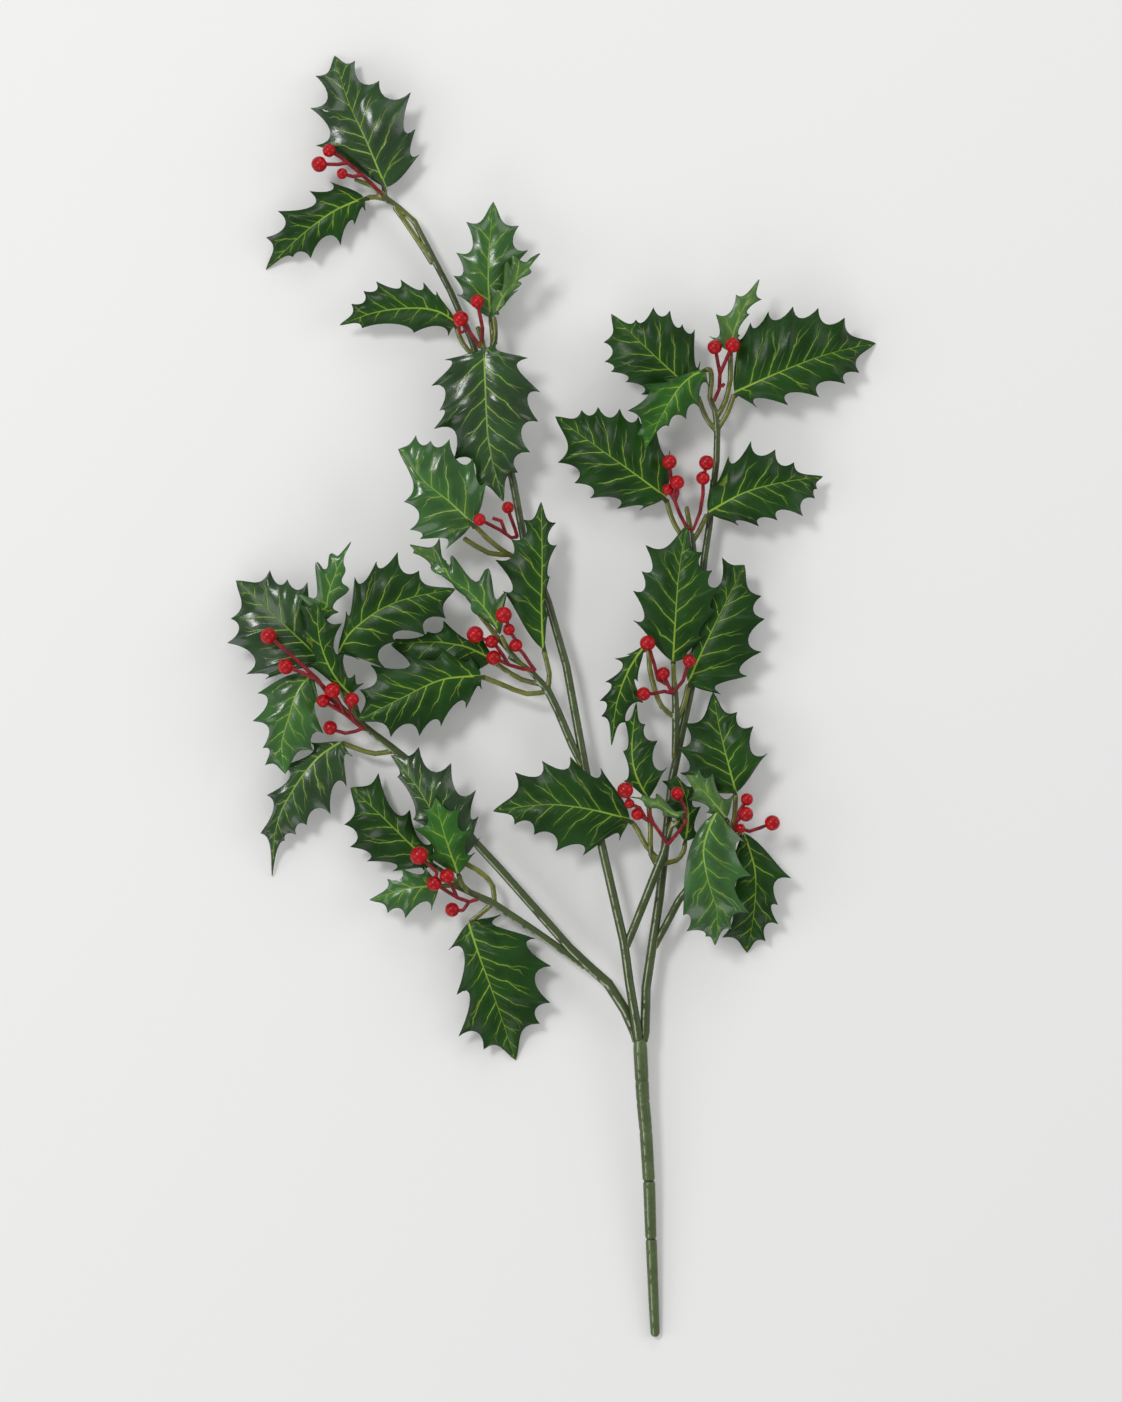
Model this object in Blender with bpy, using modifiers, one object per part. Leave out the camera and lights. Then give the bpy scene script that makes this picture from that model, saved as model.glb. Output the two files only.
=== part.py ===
"""Holly sprig: a moulded holly spray with a snap-off trunk, forked stems, spiny leaves and red berries.

The spray lies on its back on the XY plane. +Y runs from the cut end of the trunk to the crown,
+Z is the side that the leaves face. Every length in the tables is in millimetres.
"""

import math

import bmesh
import bpy
from mathutils import Matrix, Vector

MM = 0.001

# ---------------------------------------------------------------- driving dimensions

GAP = 0.35  # clearance between pieces that touch
LEAF_GAP = 0.9  # from the end of a petiole to the base of its leaf
BLADE_THICKNESS = 0.7
PETIOLE_RADIUS = 1.15
STALK_RADIUS = 0.85
STEM_SIDES = 8
FINE_SIDES = 6
RIB_STEPS = 7  # straight runs of a midrib
SCALLOP_STEPS = 3  # straight runs between two neighbouring spines
VEIN_SLANT = 0.55  # how far back along the midrib a side vein starts, for each mm of its reach
SPINE_CURL = 1.1  # spines stand this far above and below the blade in turn
SHIFT = (0.32, 0.06, -0.1)  # moves the centre of the base of the whole spray to the origin

# A stem is a run of (x, y, z, radius).
TRUNK = (
    (56.0, -350.6, 2.6, 0.9), (56.0, -350.2, 2.6, 1.6), (55.9, -349.4, 2.6, 2.15), (55.9, -348.2, 2.7, 2.5),
    (55.2, -334.0, 3.7, 2.7), (53.8, -300.0, 6.1, 3.0),
    (53.7, -297.9, 6.2, 3.0), (53.6, -296.7, 6.3, 2.3),
    (53.5, -295.5, 6.4, 3.05), (52.6, -268.0, 8.3, 3.25),
    (52.5, -265.9, 8.5, 3.25), (52.4, -264.7, 8.6, 2.5),
    (52.3, -263.5, 8.7, 3.3), (51.6, -252.0, 9.5, 3.35),
    (50.8, -239.0, 10.4, 3.45), (50.7, -237.5, 10.5, 3.2),
    (50.6, -236.0, 10.6, 3.45), (49.3, -222.7, 11.5, 3.55),
    (49.2, -221.2, 11.6, 3.3), (49.1, -219.7, 11.7, 3.55),
    (48.6, -211.3, 12.3, 3.65), (48.5, -209.8, 12.4, 3.35),
    (48.4, -208.3, 12.5, 3.65), (47.6, -192.0, 13.7, 3.8),
    (47.4, -188.0, 14.0, 3.3), (47.3, -186.2, 14.1, 2.0),
)
LEFT_BRANCH = (
    (47.0, -193.0, 14.0, 2.4), (45.0, -184.0, 13.8, 2.6),
    (39.4, -171.4, 13.0, 2.6), (30.1, -156.8, 12.5, 2.6),
    (20.7, -148.5, 12.5, 2.5), (9.2, -137.4, 12.5, 2.2),
    (-28.4, -94.9, 13.0, 2.1), (-42.9, -79.1, 13.0, 2.0),
    (-78.0, -36.0, 13.0, 1.9), (-90.0, -26.5, 13.5, 1.9),
    (-99.0, -19.5, 14.5, 1.6), (-106.5, -12.5, 16.0, 1.1),
)
LEFT_SIDE_BRANCH = (
    (17.5, -147.3, 12.5, 1.9), (9.2, -141.6, 12.5, 1.9),
    (-10.0, -128.0, 12.5, 1.8), (-33.3, -112.5, 13.0, 1.8),
    (-46.0, -106.6, 14.0, 1.4), (-56.3, -102.2, 15.5, 1.0),
)
CENTRE_BRANCH = (
    (47.4, -192.0, 14.2, 2.2), (45.6, -180.0, 16.4, 2.3),
    (41.6, -156.0, 17.6, 2.2), (38.6, -134.0, 18.0, 2.2),
    (26.4, -80.9, 17.0, 2.1), (17.4, -38.8, 16.0, 2.1), (7.3, 16.5, 15.0, 1.9), (-2.7, 51.6, 14.0, 1.8),
    (-16.0, 86.0, 14.0, 1.8), (-22.0, 118.0, 14.0, 1.8),
    (-31.0, 152.0, 13.5, 1.7), (-44.6, 195.0, 12.5, 1.6),
    (-56.0, 221.0, 12.0, 1.5), (-66.0, 240.0, 11.5, 1.5),
    (-75.6, 259.0, 11.0, 1.3), (-84.0, 266.6, 11.0, 1.2),
    (-90.5, 271.0, 11.2, 1.5), (-99.0, 278.5, 13.0, 1.1), (-108.0, 281.5, 15.0, 0.8),
)
CENTRE_SIDE_BRANCH = (
    (17.6, -41.0, 16.2, 1.8), (10.6, -27.0, 17.0, 1.9), (2.6, -8.0, 18.0, 1.9), (-3.0, 3.4, 19.0, 1.9),
    (-11.5, 13.0, 20.0, 1.3), (-18.0, 18.0, 21.0, 1.1), (-23.9, 21.2, 22.0, 0.9),
)
CROSS_BRANCH = (
    (39.6, -137.0, 18.0, 1.9), (47.6, -117.0, 19.0, 2.0),
    (55.5, -97.0, 21.0, 2.1), (60.0, -85.6, 23.0, 2.0),
    (62.6, -76.0, 25.0, 1.4), (65.0, -68.0, 27.0, 1.0),
)
RIGHT_BRANCH = (
    (48.3, -192.4, 13.7, 2.2), (50.1, -183.2, 13.4, 2.4),
    (50.8, -158.7, 13.0, 2.3), (54.0, -137.0, 13.0, 2.3),
    (58.2, -109.0, 12.6, 2.2), (61.3, -80.9, 12.4, 2.1), (64.9, -45.7, 12.4, 2.0), (69.5, -24.0, 12.4, 1.8),
    (72.9, -8.0, 12.0, 1.7), (75.9, 6.0, 11.5, 1.7), (79.4, 40.0, 11.0, 1.7), (82.5, 75.0, 11.5, 1.7),
    (85.1, 92.0, 11.8, 1.6), (89.2, 128.4, 12.6, 1.5), (89.6, 146.0, 14.0, 1.5), (88.4, 155.0, 15.5, 1.3),
    (85.0, 164.0, 17.0, 0.9),
)
RIGHT_MIDDLE_STEM = (
    (66.4, -34.0, 13.0, 1.5), (66.8, -22.0, 15.5, 1.8), (66.9, -10.0, 17.5, 1.8), (66.4, 2.0, 19.0, 1.5),
    (65.7, 11.0, 20.4, 1.0), (65.3, 18.3, 21.6, 0.9),
)
RIGHT_UPPER_STEM = (
    (81.0, 58.0, 12.0, 1.2), (77.9, 70.0, 13.4, 1.4), (76.0, 83.0, 15.0, 1.5), (74.6, 92.0, 16.0, 1.2),
    (72.7, 102.9, 17.0, 1.0),
)
RIGHT_OUTER_STEM = (
    (54.6, -138.0, 13.0, 1.7), (61.4, -125.0, 14.2, 1.8),
    (68.4, -111.4, 16.0, 1.8), (80.0, -96.0, 18.0, 1.6),
    (92.0, -83.0, 20.0, 1.5), (98.5, -76.0, 21.5, 1.0),
)

# Petioles, each a run of (x, y, z) that ends LEAF_GAP short of the base of its leaf.
PETIOLES = {
    "centre": (
        ((-91.0, 271.0, 11.2), (-92.0, 274.5, 12.0), (-91.2, 277.2, 12.5)),
        ((-91.0, 271.0, 11.2), (-97.0, 272.4, 11.2), (-102.6, 271.6, 11.6)),
        ((-66.0, 236.0, 11.7), (-70.5, 243.5, 11.2), (-80.5, 258.5, 11.0), (-87.0, 267.5, 11.2)),
        (
            (-29.0, 146.0, 14.0), (-34.0, 170.0, 16.0), (-37.0, 187.0, 18.0),
            (-39.0, 195.0, 19.0), (-41.2, 201.5, 20.5),
        ),
        ((-37.5, 188.0, 18.2), (-38.4, 190.5, 21.0), (-37.5, 188.4, 24.6)),
        ((-36.6, 185.0, 17.8), (-33.0, 189.5, 18.6), (-33.0, 198.0, 19.6), (-34.0, 205.6, 20.3)),
        ((-35.0, 187.0, 18.2), (-31.6, 193.0, 20.0), (-31.4, 201.0, 23.0), (-32.4, 206.6, 24.6)),
        ((-37.0, 183.0, 17.6), (-46.0, 188.0, 17.2), (-51.0, 196.0, 17.0), (-52.8, 203.0, 17.3)),
        (
            (-9.0, 69.0, 14.0), (-18.0, 74.6, 16.0), (-25.0, 77.6, 19.0),
            (-35.0, 85.0, 25.0), (-43.6, 93.6, 31.0),
        ),
        ((-24.0, 77.0, 18.6), (-35.0, 77.8, 21.5), (-49.0, 86.0, 25.0)),
    ),
    "centre_side": (
        ((-3.0, 3.4, 19.0), (-1.9, 12.0, 21.0), (-5.1, 25.1, 24.0)),
        ((-2.6, 2.8, 19.0), (-14.0, 1.2, 18.8), (-28.0, 6.4, 20.0), (-39.0, 10.8, 21.0)),
        ((-6.0, 6.4, 19.4), (-17.0, 9.0, 18.2), (-28.0, 15.6, 17.4), (-32.6, 19.6, 17.0)),
        ((-18.0, 18.0, 21.0), (-24.0, 25.0, 24.2), (-28.6, 33.3, 26.2)),
        ((-20.0, 20.0, 21.4), (-31.0, 33.0, 21.6), (-43.6, 49.6, 23.0)),
    ),
    "left": (
        ((-103.0, -15.6, 15.4), (-107.6, -7.0, 19.4), (-110.0, 0.6, 24.0)),
        ((-105.0, -13.6, 15.8), (-110.0, 2.0, 18.0), (-114.4, 14.0, 22.0), (-116.2, 23.5, 25.6)),
        ((-103.0, -16.4, 15.4), (-113.0, -2.0, 16.2), (-119.0, 10.0, 17.0), (-122.2, 16.5, 17.6)),
        ((-106.0, -12.4, 16.0), (-114.0, 6.0, 18.4), (-120.4, 26.0, 22.4), (-123.8, 41.4, 26.2)),
        ((-101.6, -18.0, 15.0), (-115.0, -6.0, 17.6), (-125.0, 5.0, 19.6), (-131.0, 11.2, 20.8)),
        ((-86.0, -29.6, 13.2), (-97.0, -31.4, 12.8), (-107.0, -28.6, 12.0), (-115.8, -25.0, 11.8)),
    ),
    "left_side": (
        (
            (-32.0, -112.8, 13.0), (-32.8, -103.4, 14.4), (-38.6, -96.6, 16.0),
            (-47.3, -91.4, 16.6), (-51.4, -90.8, 16.2),
        ),
        ((-47.0, -106.0, 14.2), (-57.0, -97.6, 13.6), (-65.5, -92.3, 13.2)),
        ((-44.0, -107.4, 14.0), (-49.0, -103.0, 19.0), (-51.4, -96.7, 23.0)),
        ((-55.0, -102.8, 15.4), (-59.0, -103.4, 17.6), (-62.0, -103.4, 19.0)),
        ((-32.6, -112.8, 13.0), (-38.4, -117.8, 11.4), (-45.8, -123.8, 10.4)),
    ),
    "right": (
        ((90.0, 146.0, 14.0), (95.0, 154.0, 15.8), (98.8, 164.9, 17.8)),
        ((89.0, 144.6, 13.8), (83.8, 151.0, 14.8), (80.4, 159.0, 16.2), (78.4, 164.2, 17.2)),
        (
            (88.2, 156.0, 15.6), (85.4, 162.0, 18.4), (86.2, 172.0, 24.0),
            (85.2, 177.0, 27.6), (82.1, 176.9, 28.2),
        ),
        ((89.2, 152.0, 15.0), (93.6, 160.0, 17.6), (96.4, 172.0, 20.4), (96.3, 187.0, 22.0)),
    ),
    "right_upper": (
        ((76.0, 83.0, 15.0), (69.0, 89.0, 14.2), (64.4, 98.0, 14.4), (61.6, 107.9, 14.8)),
        ((76.0, 84.0, 15.0), (80.0, 90.6, 15.8), (84.2, 99.6, 17.6)),
    ),
    "right_middle": (
        ((67.0, -15.0, 16.6), (70.6, -6.0, 17.0), (72.6, 1.0, 17.2), (73.7, 7.2, 17.8)),
        (
            (66.8, -12.0, 17.2), (59.4, -6.0, 18.6), (55.6, 3.0, 19.2),
            (52.6, 15.0, 20.0), (52.0, 25.0, 20.4), (49.5, 27.2, 20.6),
        ),
    ),
    "cross": (
        ((58.6, -90.0, 22.2), (51.0, -82.0, 21.4), (46.0, -72.6, 20.8), (41.9, -67.2, 20.4)),
        ((57.4, -92.6, 21.8), (53.2, -86.0, 22.6), (53.0, -72.0, 24.6), (51.7, -55.9, 26.2)),
        ((64.0, -71.0, 26.2), (67.0, -68.6, 28.0), (67.8, -66.4, 29.6)),
        ((59.4, -91.0, 22.0), (67.0, -89.4, 20.4), (71.0, -84.6, 19.6), (72.0, -79.1, 19.4)),
    ),
    "right_outer": (
        ((95.0, -79.6, 20.8), (98.6, -66.0, 21.4), (99.4, -52.7, 21.8)),
        ((93.0, -82.0, 20.2), (95.4, -73.0, 24.6), (94.1, -66.4, 27.0)),
        ((91.0, -84.0, 19.8), (88.4, -75.0, 25.6), (87.4, -68.0, 30.6), (88.3, -63.4, 32.2)),
        ((96.0, -78.6, 21.0), (100.6, -75.6, 19.4), (103.1, -74.5, 17.9)),
    ),
}

# Leaves. rib: plan of the midrib from base to tip. left and right: the spine tips on each side, in the
# same order. z: heights of the base, the middle and the tip. lift: how far the left and right edges
# stand above the midrib at the widest spine. swell: how far each edge bulges before its first spine.
LEAVES = {
    "leaf_crown_1": dict(
        rib=((-91.2, 277.6), (-102.0, 303.0), (-112.0, 325.0), (-119.5, 350.5)),
        left=((-129.0, 300.0), (-132.0, 320.0), (-129.5, 338.5)),
        right=((-73.0, 295.5), (-75.0, 309.0), (-77.5, 329.0), (-94.5, 335.0), (-108.0, 347.0)),
        z=(12.6, 17.0, 0.6), lift=(-1.0, -2.0), swell=(0.02, 0.10)),
    "leaf_crown_2": dict(
        rib=((-103.0, 271.6), (-119.0, 264.5), (-137.0, 251.5), (-157.0, 234.0)),
        left=((-102.5, 265.0), (-108.5, 257.0), (-116.0, 246.0), (-132.0, 239.0), (-142.0, 240.0)),
        right=((-121.5, 280.5), (-132.5, 275.0), (-150.0, 264.5), (-156.5, 250.5)),
        z=(11.7, 14.0, 0.6), lift=(-3.0, -1.0), swell=(0.04, 0.08)),
    "leaf_upper_1": dict(
        rib=((-34.1, 206.0), (-35.2, 228.0), (-34.2, 248.0), (-32.5, 269.0)),
        left=((-52.0, 218.5), (-54.0, 228.5), (-52.5, 241.0), (-47.0, 257.5)),
        right=((-19.0, 221.0), (-13.5, 242.0), (-18.5, 255.5)),
        z=(20.4, 24.0, 15.0), lift=(-2.0, -2.0), swell=(0.05, 0.05)),
    "leaf_upper_2": dict(
        rib=((-53.0, 203.6), (-62.0, 209.0), (-75.0, 211.0), (-96.0, 209.0), (-116.0, 202.5)),
        left=((-57.0, 196.8), (-76.0, 198.5), (-104.0, 201.0)),
        right=(
            (-63.5, 220.0), (-70.5, 225.0), (-83.0, 226.5),
            (-96.0, 225.5), (-103.0, 220.5), (-109.5, 213.5),
        ),
        z=(18.5, 21.0, 12.0), lift=(-11.0, -1.0), swell=(0.04, 0.05)),
    "leaf_upper_3": dict(
        rib=((-32.5, 207.0), (-22.5, 222.5), (-7.0, 239.5)),
        left=((-33.5, 222.0), (-25.5, 235.0), (-21.0, 238.5)),
        right=((-26.0, 212.5), (-17.5, 222.0), (-12.5, 228.5)),
        z=(24.8, 31.0, 32.0), lift=(2.0, 1.0), swell=(0.06, 0.04)),
    "leaf_upper_4": dict(
        rib=((-37.2, 187.8), (-36.8, 170.0), (-35.2, 140.0), (-32.0, 125.0), (-27.0, 106.0)),
        left=((-30.0, 192.0), (-13.5, 183.5), (-7.0, 165.0), (-8.0, 149.0), (-12.5, 132.5), (-19.0, 121.5)),
        right=(
            (-59.0, 182.5), (-66.0, 168.5), (-61.5, 155.0),
            (-64.5, 145.0), (-54.0, 128.0), (-43.0, 113.0),
        ),
        z=(25.0, 26.5, 21.0), lift=(-2.0, -3.0), swell=(0.02, 0.03)),
    "leaf_middle_1": dict(
        rib=((-44.0, 94.0), (-57.0, 106.0), (-70.0, 116.5), (-83.5, 133.5)),
        left=((-58.0, 79.5), (-72.0, 85.0), (-77.5, 90.0), (-80.5, 105.0)),
        right=((-36.0, 117.0), (-43.5, 129.0), (-56.0, 139.0), (-66.0, 138.0), (-74.0, 141.0)),
        z=(31.4, 35.0, 31.0), lift=(-1.0, -1.0), swell=(0.08, 0.10)),
    "leaf_inner_1": dict(
        rib=((-39.4, 10.9), (-60.0, 9.0), (-82.0, -1.0), (-106.0, -13.4)),
        left=((-38.9, 3.9), (-47.4, -6.6), (-61.0, -16.3), (-72.6, -21.6), (-88.0, -22.0)),
        right=((-46.0, 24.0), (-62.0, 27.0), (-80.0, 22.0), (-99.0, 17.0), (-105.0, 3.5)),
        z=(21.0, 26.0, 26.0), lift=(-3.0, -2.0), swell=(0.02, 0.08)),
    "leaf_inner_2": dict(
        rib=((-5.3, 25.5), (-6.3, 45.0), (-6.0, 75.0), (-6.5, 105.0)),
        left=((-27.0, 57.0), (-31.3, 74.0), (-22.5, 85.0), (-15.8, 95.5)),
        right=((-2.6, 45.0), (-2.0, 64.7), (1.8, 82.3), (1.3, 94.4)),
        z=(24.2, 28.0, 26.0), lift=(-3.0, -8.0), swell=(0.06, 0.02)),
    "leaf_inner_3": dict(
        rib=((-28.8, 33.8), (-33.5, 43.0), (-46.0, 57.0), (-66.0, 69.0)),
        left=((-30.6, 37.0), (-44.0, 46.7), (-53.0, 59.0)),
        right=((-25.4, 55.9), (-34.4, 68.2), (-53.3, 74.8), (-62.8, 79.0)),
        z=(26.4, 31.0, 31.0), lift=(-3.0, -2.0), swell=(0.03, 0.05)),
    "leaf_inner_4": dict(
        rib=((-44.0, 50.2), (-56.0, 64.0), (-66.0, 75.0), (-77.5, 82.0)),
        left=((-52.0, 59.0), (-66.5, 69.5), (-76.0, 77.6)),
        right=((-48.0, 61.0), (-58.0, 74.0), (-61.5, 86.0)),
        z=(23.2, 25.0, 25.0), lift=(1.0, 2.0), swell=(0.03, 0.03)),
    "leaf_inner_5": dict(
        rib=((-33.0, 20.0), (-48.0, 27.0), (-66.0, 29.5), (-88.0, 28.0)),
        left=((-44.0, 12.0), (-62.0, 8.0), (-78.0, 8.0)),
        right=((-40.0, 35.0), (-59.5, 41.0), (-68.5, 35.0), (-86.0, 31.5)),
        z=(16.8, 17.0, 12.0), lift=(-2.0, -1.0), swell=(0.05, 0.04)),
    "leaf_left_1": dict(
        rib=((-122.6, 16.8), (-140.0, 33.0), (-156.0, 48.0), (-173.0, 63.0)),
        left=((-142.0, 14.0), (-156.3, 9.2), (-167.0, 12.0), (-177.2, 28.8), (-175.5, 42.0)),
        right=((-123.0, 42.0), (-133.5, 62.0), (-144.5, 63.5), (-154.0, 68.5)),
        z=(17.6, 17.5, 6.0), lift=(-2.0, 0.0), swell=(0.02, 0.05)),
    "leaf_left_2": dict(
        rib=((-123.9, 41.8), (-122.0, 54.0), (-117.0, 68.0), (-109.5, 83.5)),
        left=((-138.0, 55.0), (-128.6, 70.6), (-121.0, 76.3)),
        right=((-116.6, 46.0), (-110.4, 58.0), (-112.5, 69.0)),
        z=(26.4, 31.0, 30.0), lift=(-2.0, -1.0), swell=(0.04, 0.06)),
    "leaf_left_3": dict(
        rib=((-116.2, 24.0), (-110.0, 34.0), (-95.0, 46.0), (-78.0, 53.0), (-53.0, 58.0)),
        left=((-112.0, 46.0), (-107.4, 64.6), (-95.6, 73.0), (-84.0, 78.0), (-72.5, 68.0)),
        right=((-105.0, 20.0), (-90.6, 15.0), (-84.6, 29.5), (-69.0, 33.0), (-58.0, 42.0)),
        z=(26.0, 31.0, 30.0), lift=(-1.0, 0.0), swell=(0.03, 0.03)),
    "leaf_left_4": dict(
        rib=((-131.2, 11.4), (-138.5, 3.0), (-143.5, -12.0), (-147.5, -27.0), (-145.6, -42.0)),
        left=((-126.0, -5.0), (-124.6, -20.2), (-130.2, -29.5)),
        right=((-160.5, 1.3), (-163.0, -13.6), (-157.6, -28.3), (-156.4, -37.4)),
        z=(22.4, 25.0, 21.0), lift=(-2.0, -3.0), swell=(0.04, 0.14)),
    "leaf_left_5": dict(
        rib=((-116.0, -25.1), (-130.3, -35.7), (-144.5, -56.0), (-151.2, -72.0), (-153.8, -98.2)),
        left=(
            (-109.5, -32.8), (-112.6, -49.2), (-121.4, -64.4),
            (-134.1, -70.3), (-140.2, -75.4), (-146.3, -78.6),
        ),
        right=((-132.0, -25.5), (-148.0, -38.0), (-156.0, -54.0), (-159.6, -74.6)),
        z=(13.4, 15.0, 0.6), lift=(-3.0, -2.0), swell=(0.02, 0.03)),
    "leaf_left_6": dict(
        rib=((-110.1, 1.2), (-119.0, 12.0), (-126.0, 30.0), (-127.4, 50.0)),
        left=((-132.5, 17.0), (-140.0, 35.0), (-138.0, 50.0)),
        right=((-103.0, 7.0), (-107.6, 12.0), (-113.0, 24.0), (-114.2, 39.4)),
        z=(24.2, 34.0, 35.0), lift=(-2.0, -2.0), swell=(0.04, 0.03)),
    "leaf_lower_left_1": dict(
        rib=((-66.0, -92.0), (-80.0, -78.6), (-96.0, -63.0), (-110.3, -50.3)),
        left=((-71.0, -95.0), (-87.4, -95.5), (-101.6, -90.0), (-110.6, -82.2), (-113.8, -70.2)),
        right=((-65.0, -78.0), (-78.0, -62.0), (-95.4, -42.0)),
        z=(13.2, 13.0, 8.0), lift=(-2.0, -3.0), swell=(0.02, 0.04)),
    "leaf_lower_left_2": dict(
        rib=((-51.7, -90.9), (-63.0, -68.0), (-74.0, -49.0), (-88.0, -32.4)),
        left=((-66.0, -82.0), (-76.0, -67.0), (-84.5, -44.0)),
        right=((-39.6, -77.0), (-40.5, -65.4), (-42.0, -51.0), (-55.3, -36.3), (-72.9, -27.6)),
        z=(17.4, 21.5, 17.5), lift=(-1.0, -1.0), swell=(0.04, 0.06)),
    "leaf_lower_left_3": dict(
        rib=((-51.6, -96.2), (-56.6, -82.0), (-60.8, -68.0), (-63.6, -55.0)),
        left=((-69.5, -86.5), (-75.0, -71.8), (-70.5, -61.3)),
        right=((-42.6, -84.8), (-44.6, -71.8), (-50.2, -60.8)),
        z=(23.2, 28.0, 28.0), lift=(0.0, 0.0), swell=(0.05, 0.06)),
    "leaf_lower_left_4": dict(
        rib=((-62.5, -103.4), (-78.0, -104.4), (-99.5, -111.0)),
        left=((-66.3, -116.4), (-80.2, -120.7), (-89.7, -118.0)),
        right=((-70.5, -92.0), (-82.4, -93.7), (-90.0, -99.4)),
        z=(19.2, 21.0, 15.0), lift=(-1.0, -1.0), swell=(0.06, 0.05)),
    "leaf_lower_left_5": dict(
        rib=((-46.0, -124.0), (-39.6, -143.0), (-31.6, -165.0), (-20.5, -199.2)),
        left=((-28.6, -119.4), (-9.6, -132.2), (-1.1, -147.3), (-1.5, -167.0), (-7.2, -178.6)),
        right=((-56.7, -138.6), (-52.4, -162.8), (-51.5, -185.7), (-38.0, -192.8)),
        z=(12.0, 14.0, 0.6), lift=(-2.0, -4.0), swell=(0.05, 0.05)),
    "leaf_right_crown_1": dict(
        rib=((78.0, 164.8), (69.0, 172.4), (52.0, 188.0), (32.0, 208.0)),
        left=((62.0, 160.0), (48.0, 164.0), (39.4, 171.0), (31.7, 176.3), (28.1, 181.8), (27.7, 192.5)),
        right=((80.0, 182.0), (77.2, 199.4), (70.2, 202.4), (63.6, 209.5), (54.8, 211.5), (45.3, 204.6)),
        z=(17.2, 21.0, 13.0), lift=(-2.0, -2.0), swell=(0.02, 0.02)),
    "leaf_right_crown_2": dict(
        rib=((82.1, 176.7), (72.0, 171.0), (62.0, 157.5), (50.0, 134.0)),
        left=((84.4, 168.0), (79.1, 156.5), (72.2, 150.0), (62.9, 146.2)),
        right=((60.0, 171.5), (47.2, 168.5), (40.5, 154.6), (45.3, 141.7)),
        z=(28.2, 31.0, 25.0), lift=(-1.0, 0.0), swell=(0.03, 0.04)),
    "leaf_right_crown_3": dict(
        rib=((96.2, 187.4), (98.5, 199.0), (104.0, 212.0), (112.0, 226.2)),
        left=((85.0, 195.5), (88.4, 207.3), (99.4, 217.8)),
        right=((101.6, 196.0), (106.8, 207.0), (113.3, 215.2)),
        z=(22.0, 25.0, 22.0), lift=(1.0, 1.0), swell=(0.06, 0.02)),
    "leaf_right_crown_4": dict(
        rib=((99.0, 165.5), (125.0, 176.8), (150.0, 186.4), (176.4, 193.3)),
        left=(
            (100.6, 196.4), (107.6, 203.2), (117.3, 209.2),
            (130.4, 211.7), (144.2, 211.2), (158.7, 206.2),
        ),
        right=((111.2, 157.2), (127.9, 158.3), (144.8, 162.5), (158.9, 169.8), (166.8, 176.2)),
        z=(17.8, 21.0, 0.6), lift=(-2.0, -2.0), swell=(0.05, 0.04)),
    "leaf_right_upper_1": dict(
        rib=((61.4, 108.4), (45.0, 120.6), (25.0, 135.0), (1.6, 152.7)),
        left=((47.2, 101.4), (34.8, 102.0), (20.2, 108.0), (11.7, 116.0), (2.7, 127.2)),
        right=((63.6, 133.8), (56.0, 146.0), (46.4, 152.4), (36.3, 156.4), (24.7, 157.6), (15.8, 156.0)),
        z=(14.8, 17.0, 6.0), lift=(-2.0, -2.0), swell=(0.05, 0.06)),
    "leaf_right_upper_2": dict(
        rib=((84.6, 100.1), (104.0, 110.6), (125.0, 116.3), (147.0, 119.8)),
        left=((86.0, 118.0), (95.4, 130.4), (107.8, 138.7), (120.7, 134.0), (131.0, 127.3)),
        right=((101.0, 93.2), (112.0, 92.4), (122.0, 95.6), (135.8, 97.8), (142.6, 107.6), (143.8, 112.8)),
        z=(17.8, 22.0, 9.0), lift=(-2.0, -2.0), swell=(0.06, 0.05)),
    "leaf_right_middle_1": dict(
        rib=((65.2, 19.0), (66.4, 42.0), (68.4, 68.0), (72.7, 92.6)),
        left=((43.9, 41.2), (43.6, 57.0), (48.2, 67.7), (50.2, 81.8)),
        right=((76.0, 22.0), (83.6, 33.0), (89.6, 47.5), (90.0, 58.4), (86.4, 68.2), (81.0, 78.0)),
        z=(22.0, 28.0, 25.0), lift=(-1.0, -1.5), swell=(0.05, 0.04)),
    "leaf_right_middle_2": dict(
        rib=((73.9, 7.7), (80.0, 22.0), (91.0, 45.0), (104.2, 71.2)),
        left=((70.0, 24.0), (74.0, 42.0), (83.0, 61.4), (92.0, 75.3)),
        right=((91.5, 1.0), (105.8, 10.9), (113.5, 24.2), (115.2, 42.0), (113.5, 54.4)),
        z=(18.0, 20.0, 16.0), lift=(-1.0, -2.0), swell=(0.03, 0.09)),
    "leaf_right_middle_3": dict(
        rib=((49.5, 27.0), (41.0, 14.0), (34.6, -4.0), (32.0, -26.4)),
        left=((46.0, 8.0), (48.9, -3.6), (39.4, -14.0)),
        right=((40.5, 22.5), (33.7, 20.2), (28.5, 7.6), (25.4, -2.4), (26.4, -10.8)),
        z=(20.6, 23.0, 14.0), lift=(-3.0, -2.0), swell=(0.02, 0.02)),
    "leaf_right_lower_1": dict(
        rib=((41.5, -66.9), (20.0, -61.4), (-4.0, -58.8), (-32.2, -62.5)),
        left=((36.0, -78.6), (16.3, -86.6), (1.5, -84.2), (-10.2, -75.2), (-20.8, -69.8)),
        right=((25.9, -39.2), (9.3, -32.8), (-6.0, -35.1), (-20.5, -41.4)),
        z=(20.4, 25.0, 19.0), lift=(-2.0, -1.0), swell=(0.03, 0.08)),
    "leaf_right_lower_2": dict(
        rib=((51.6, -55.3), (45.2, -43.0), (43.0, -28.0), (45.4, -4.0)),
        left=((38.8, -46.0), (38.4, -30.0), (39.4, -13.5)),
        right=((61.6, -38.7), (56.8, -24.3), (50.2, -15.5)),
        z=(26.4, 27.0, 14.8), lift=(-8.0, -1.0), swell=(0.02, 0.04)),
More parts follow.
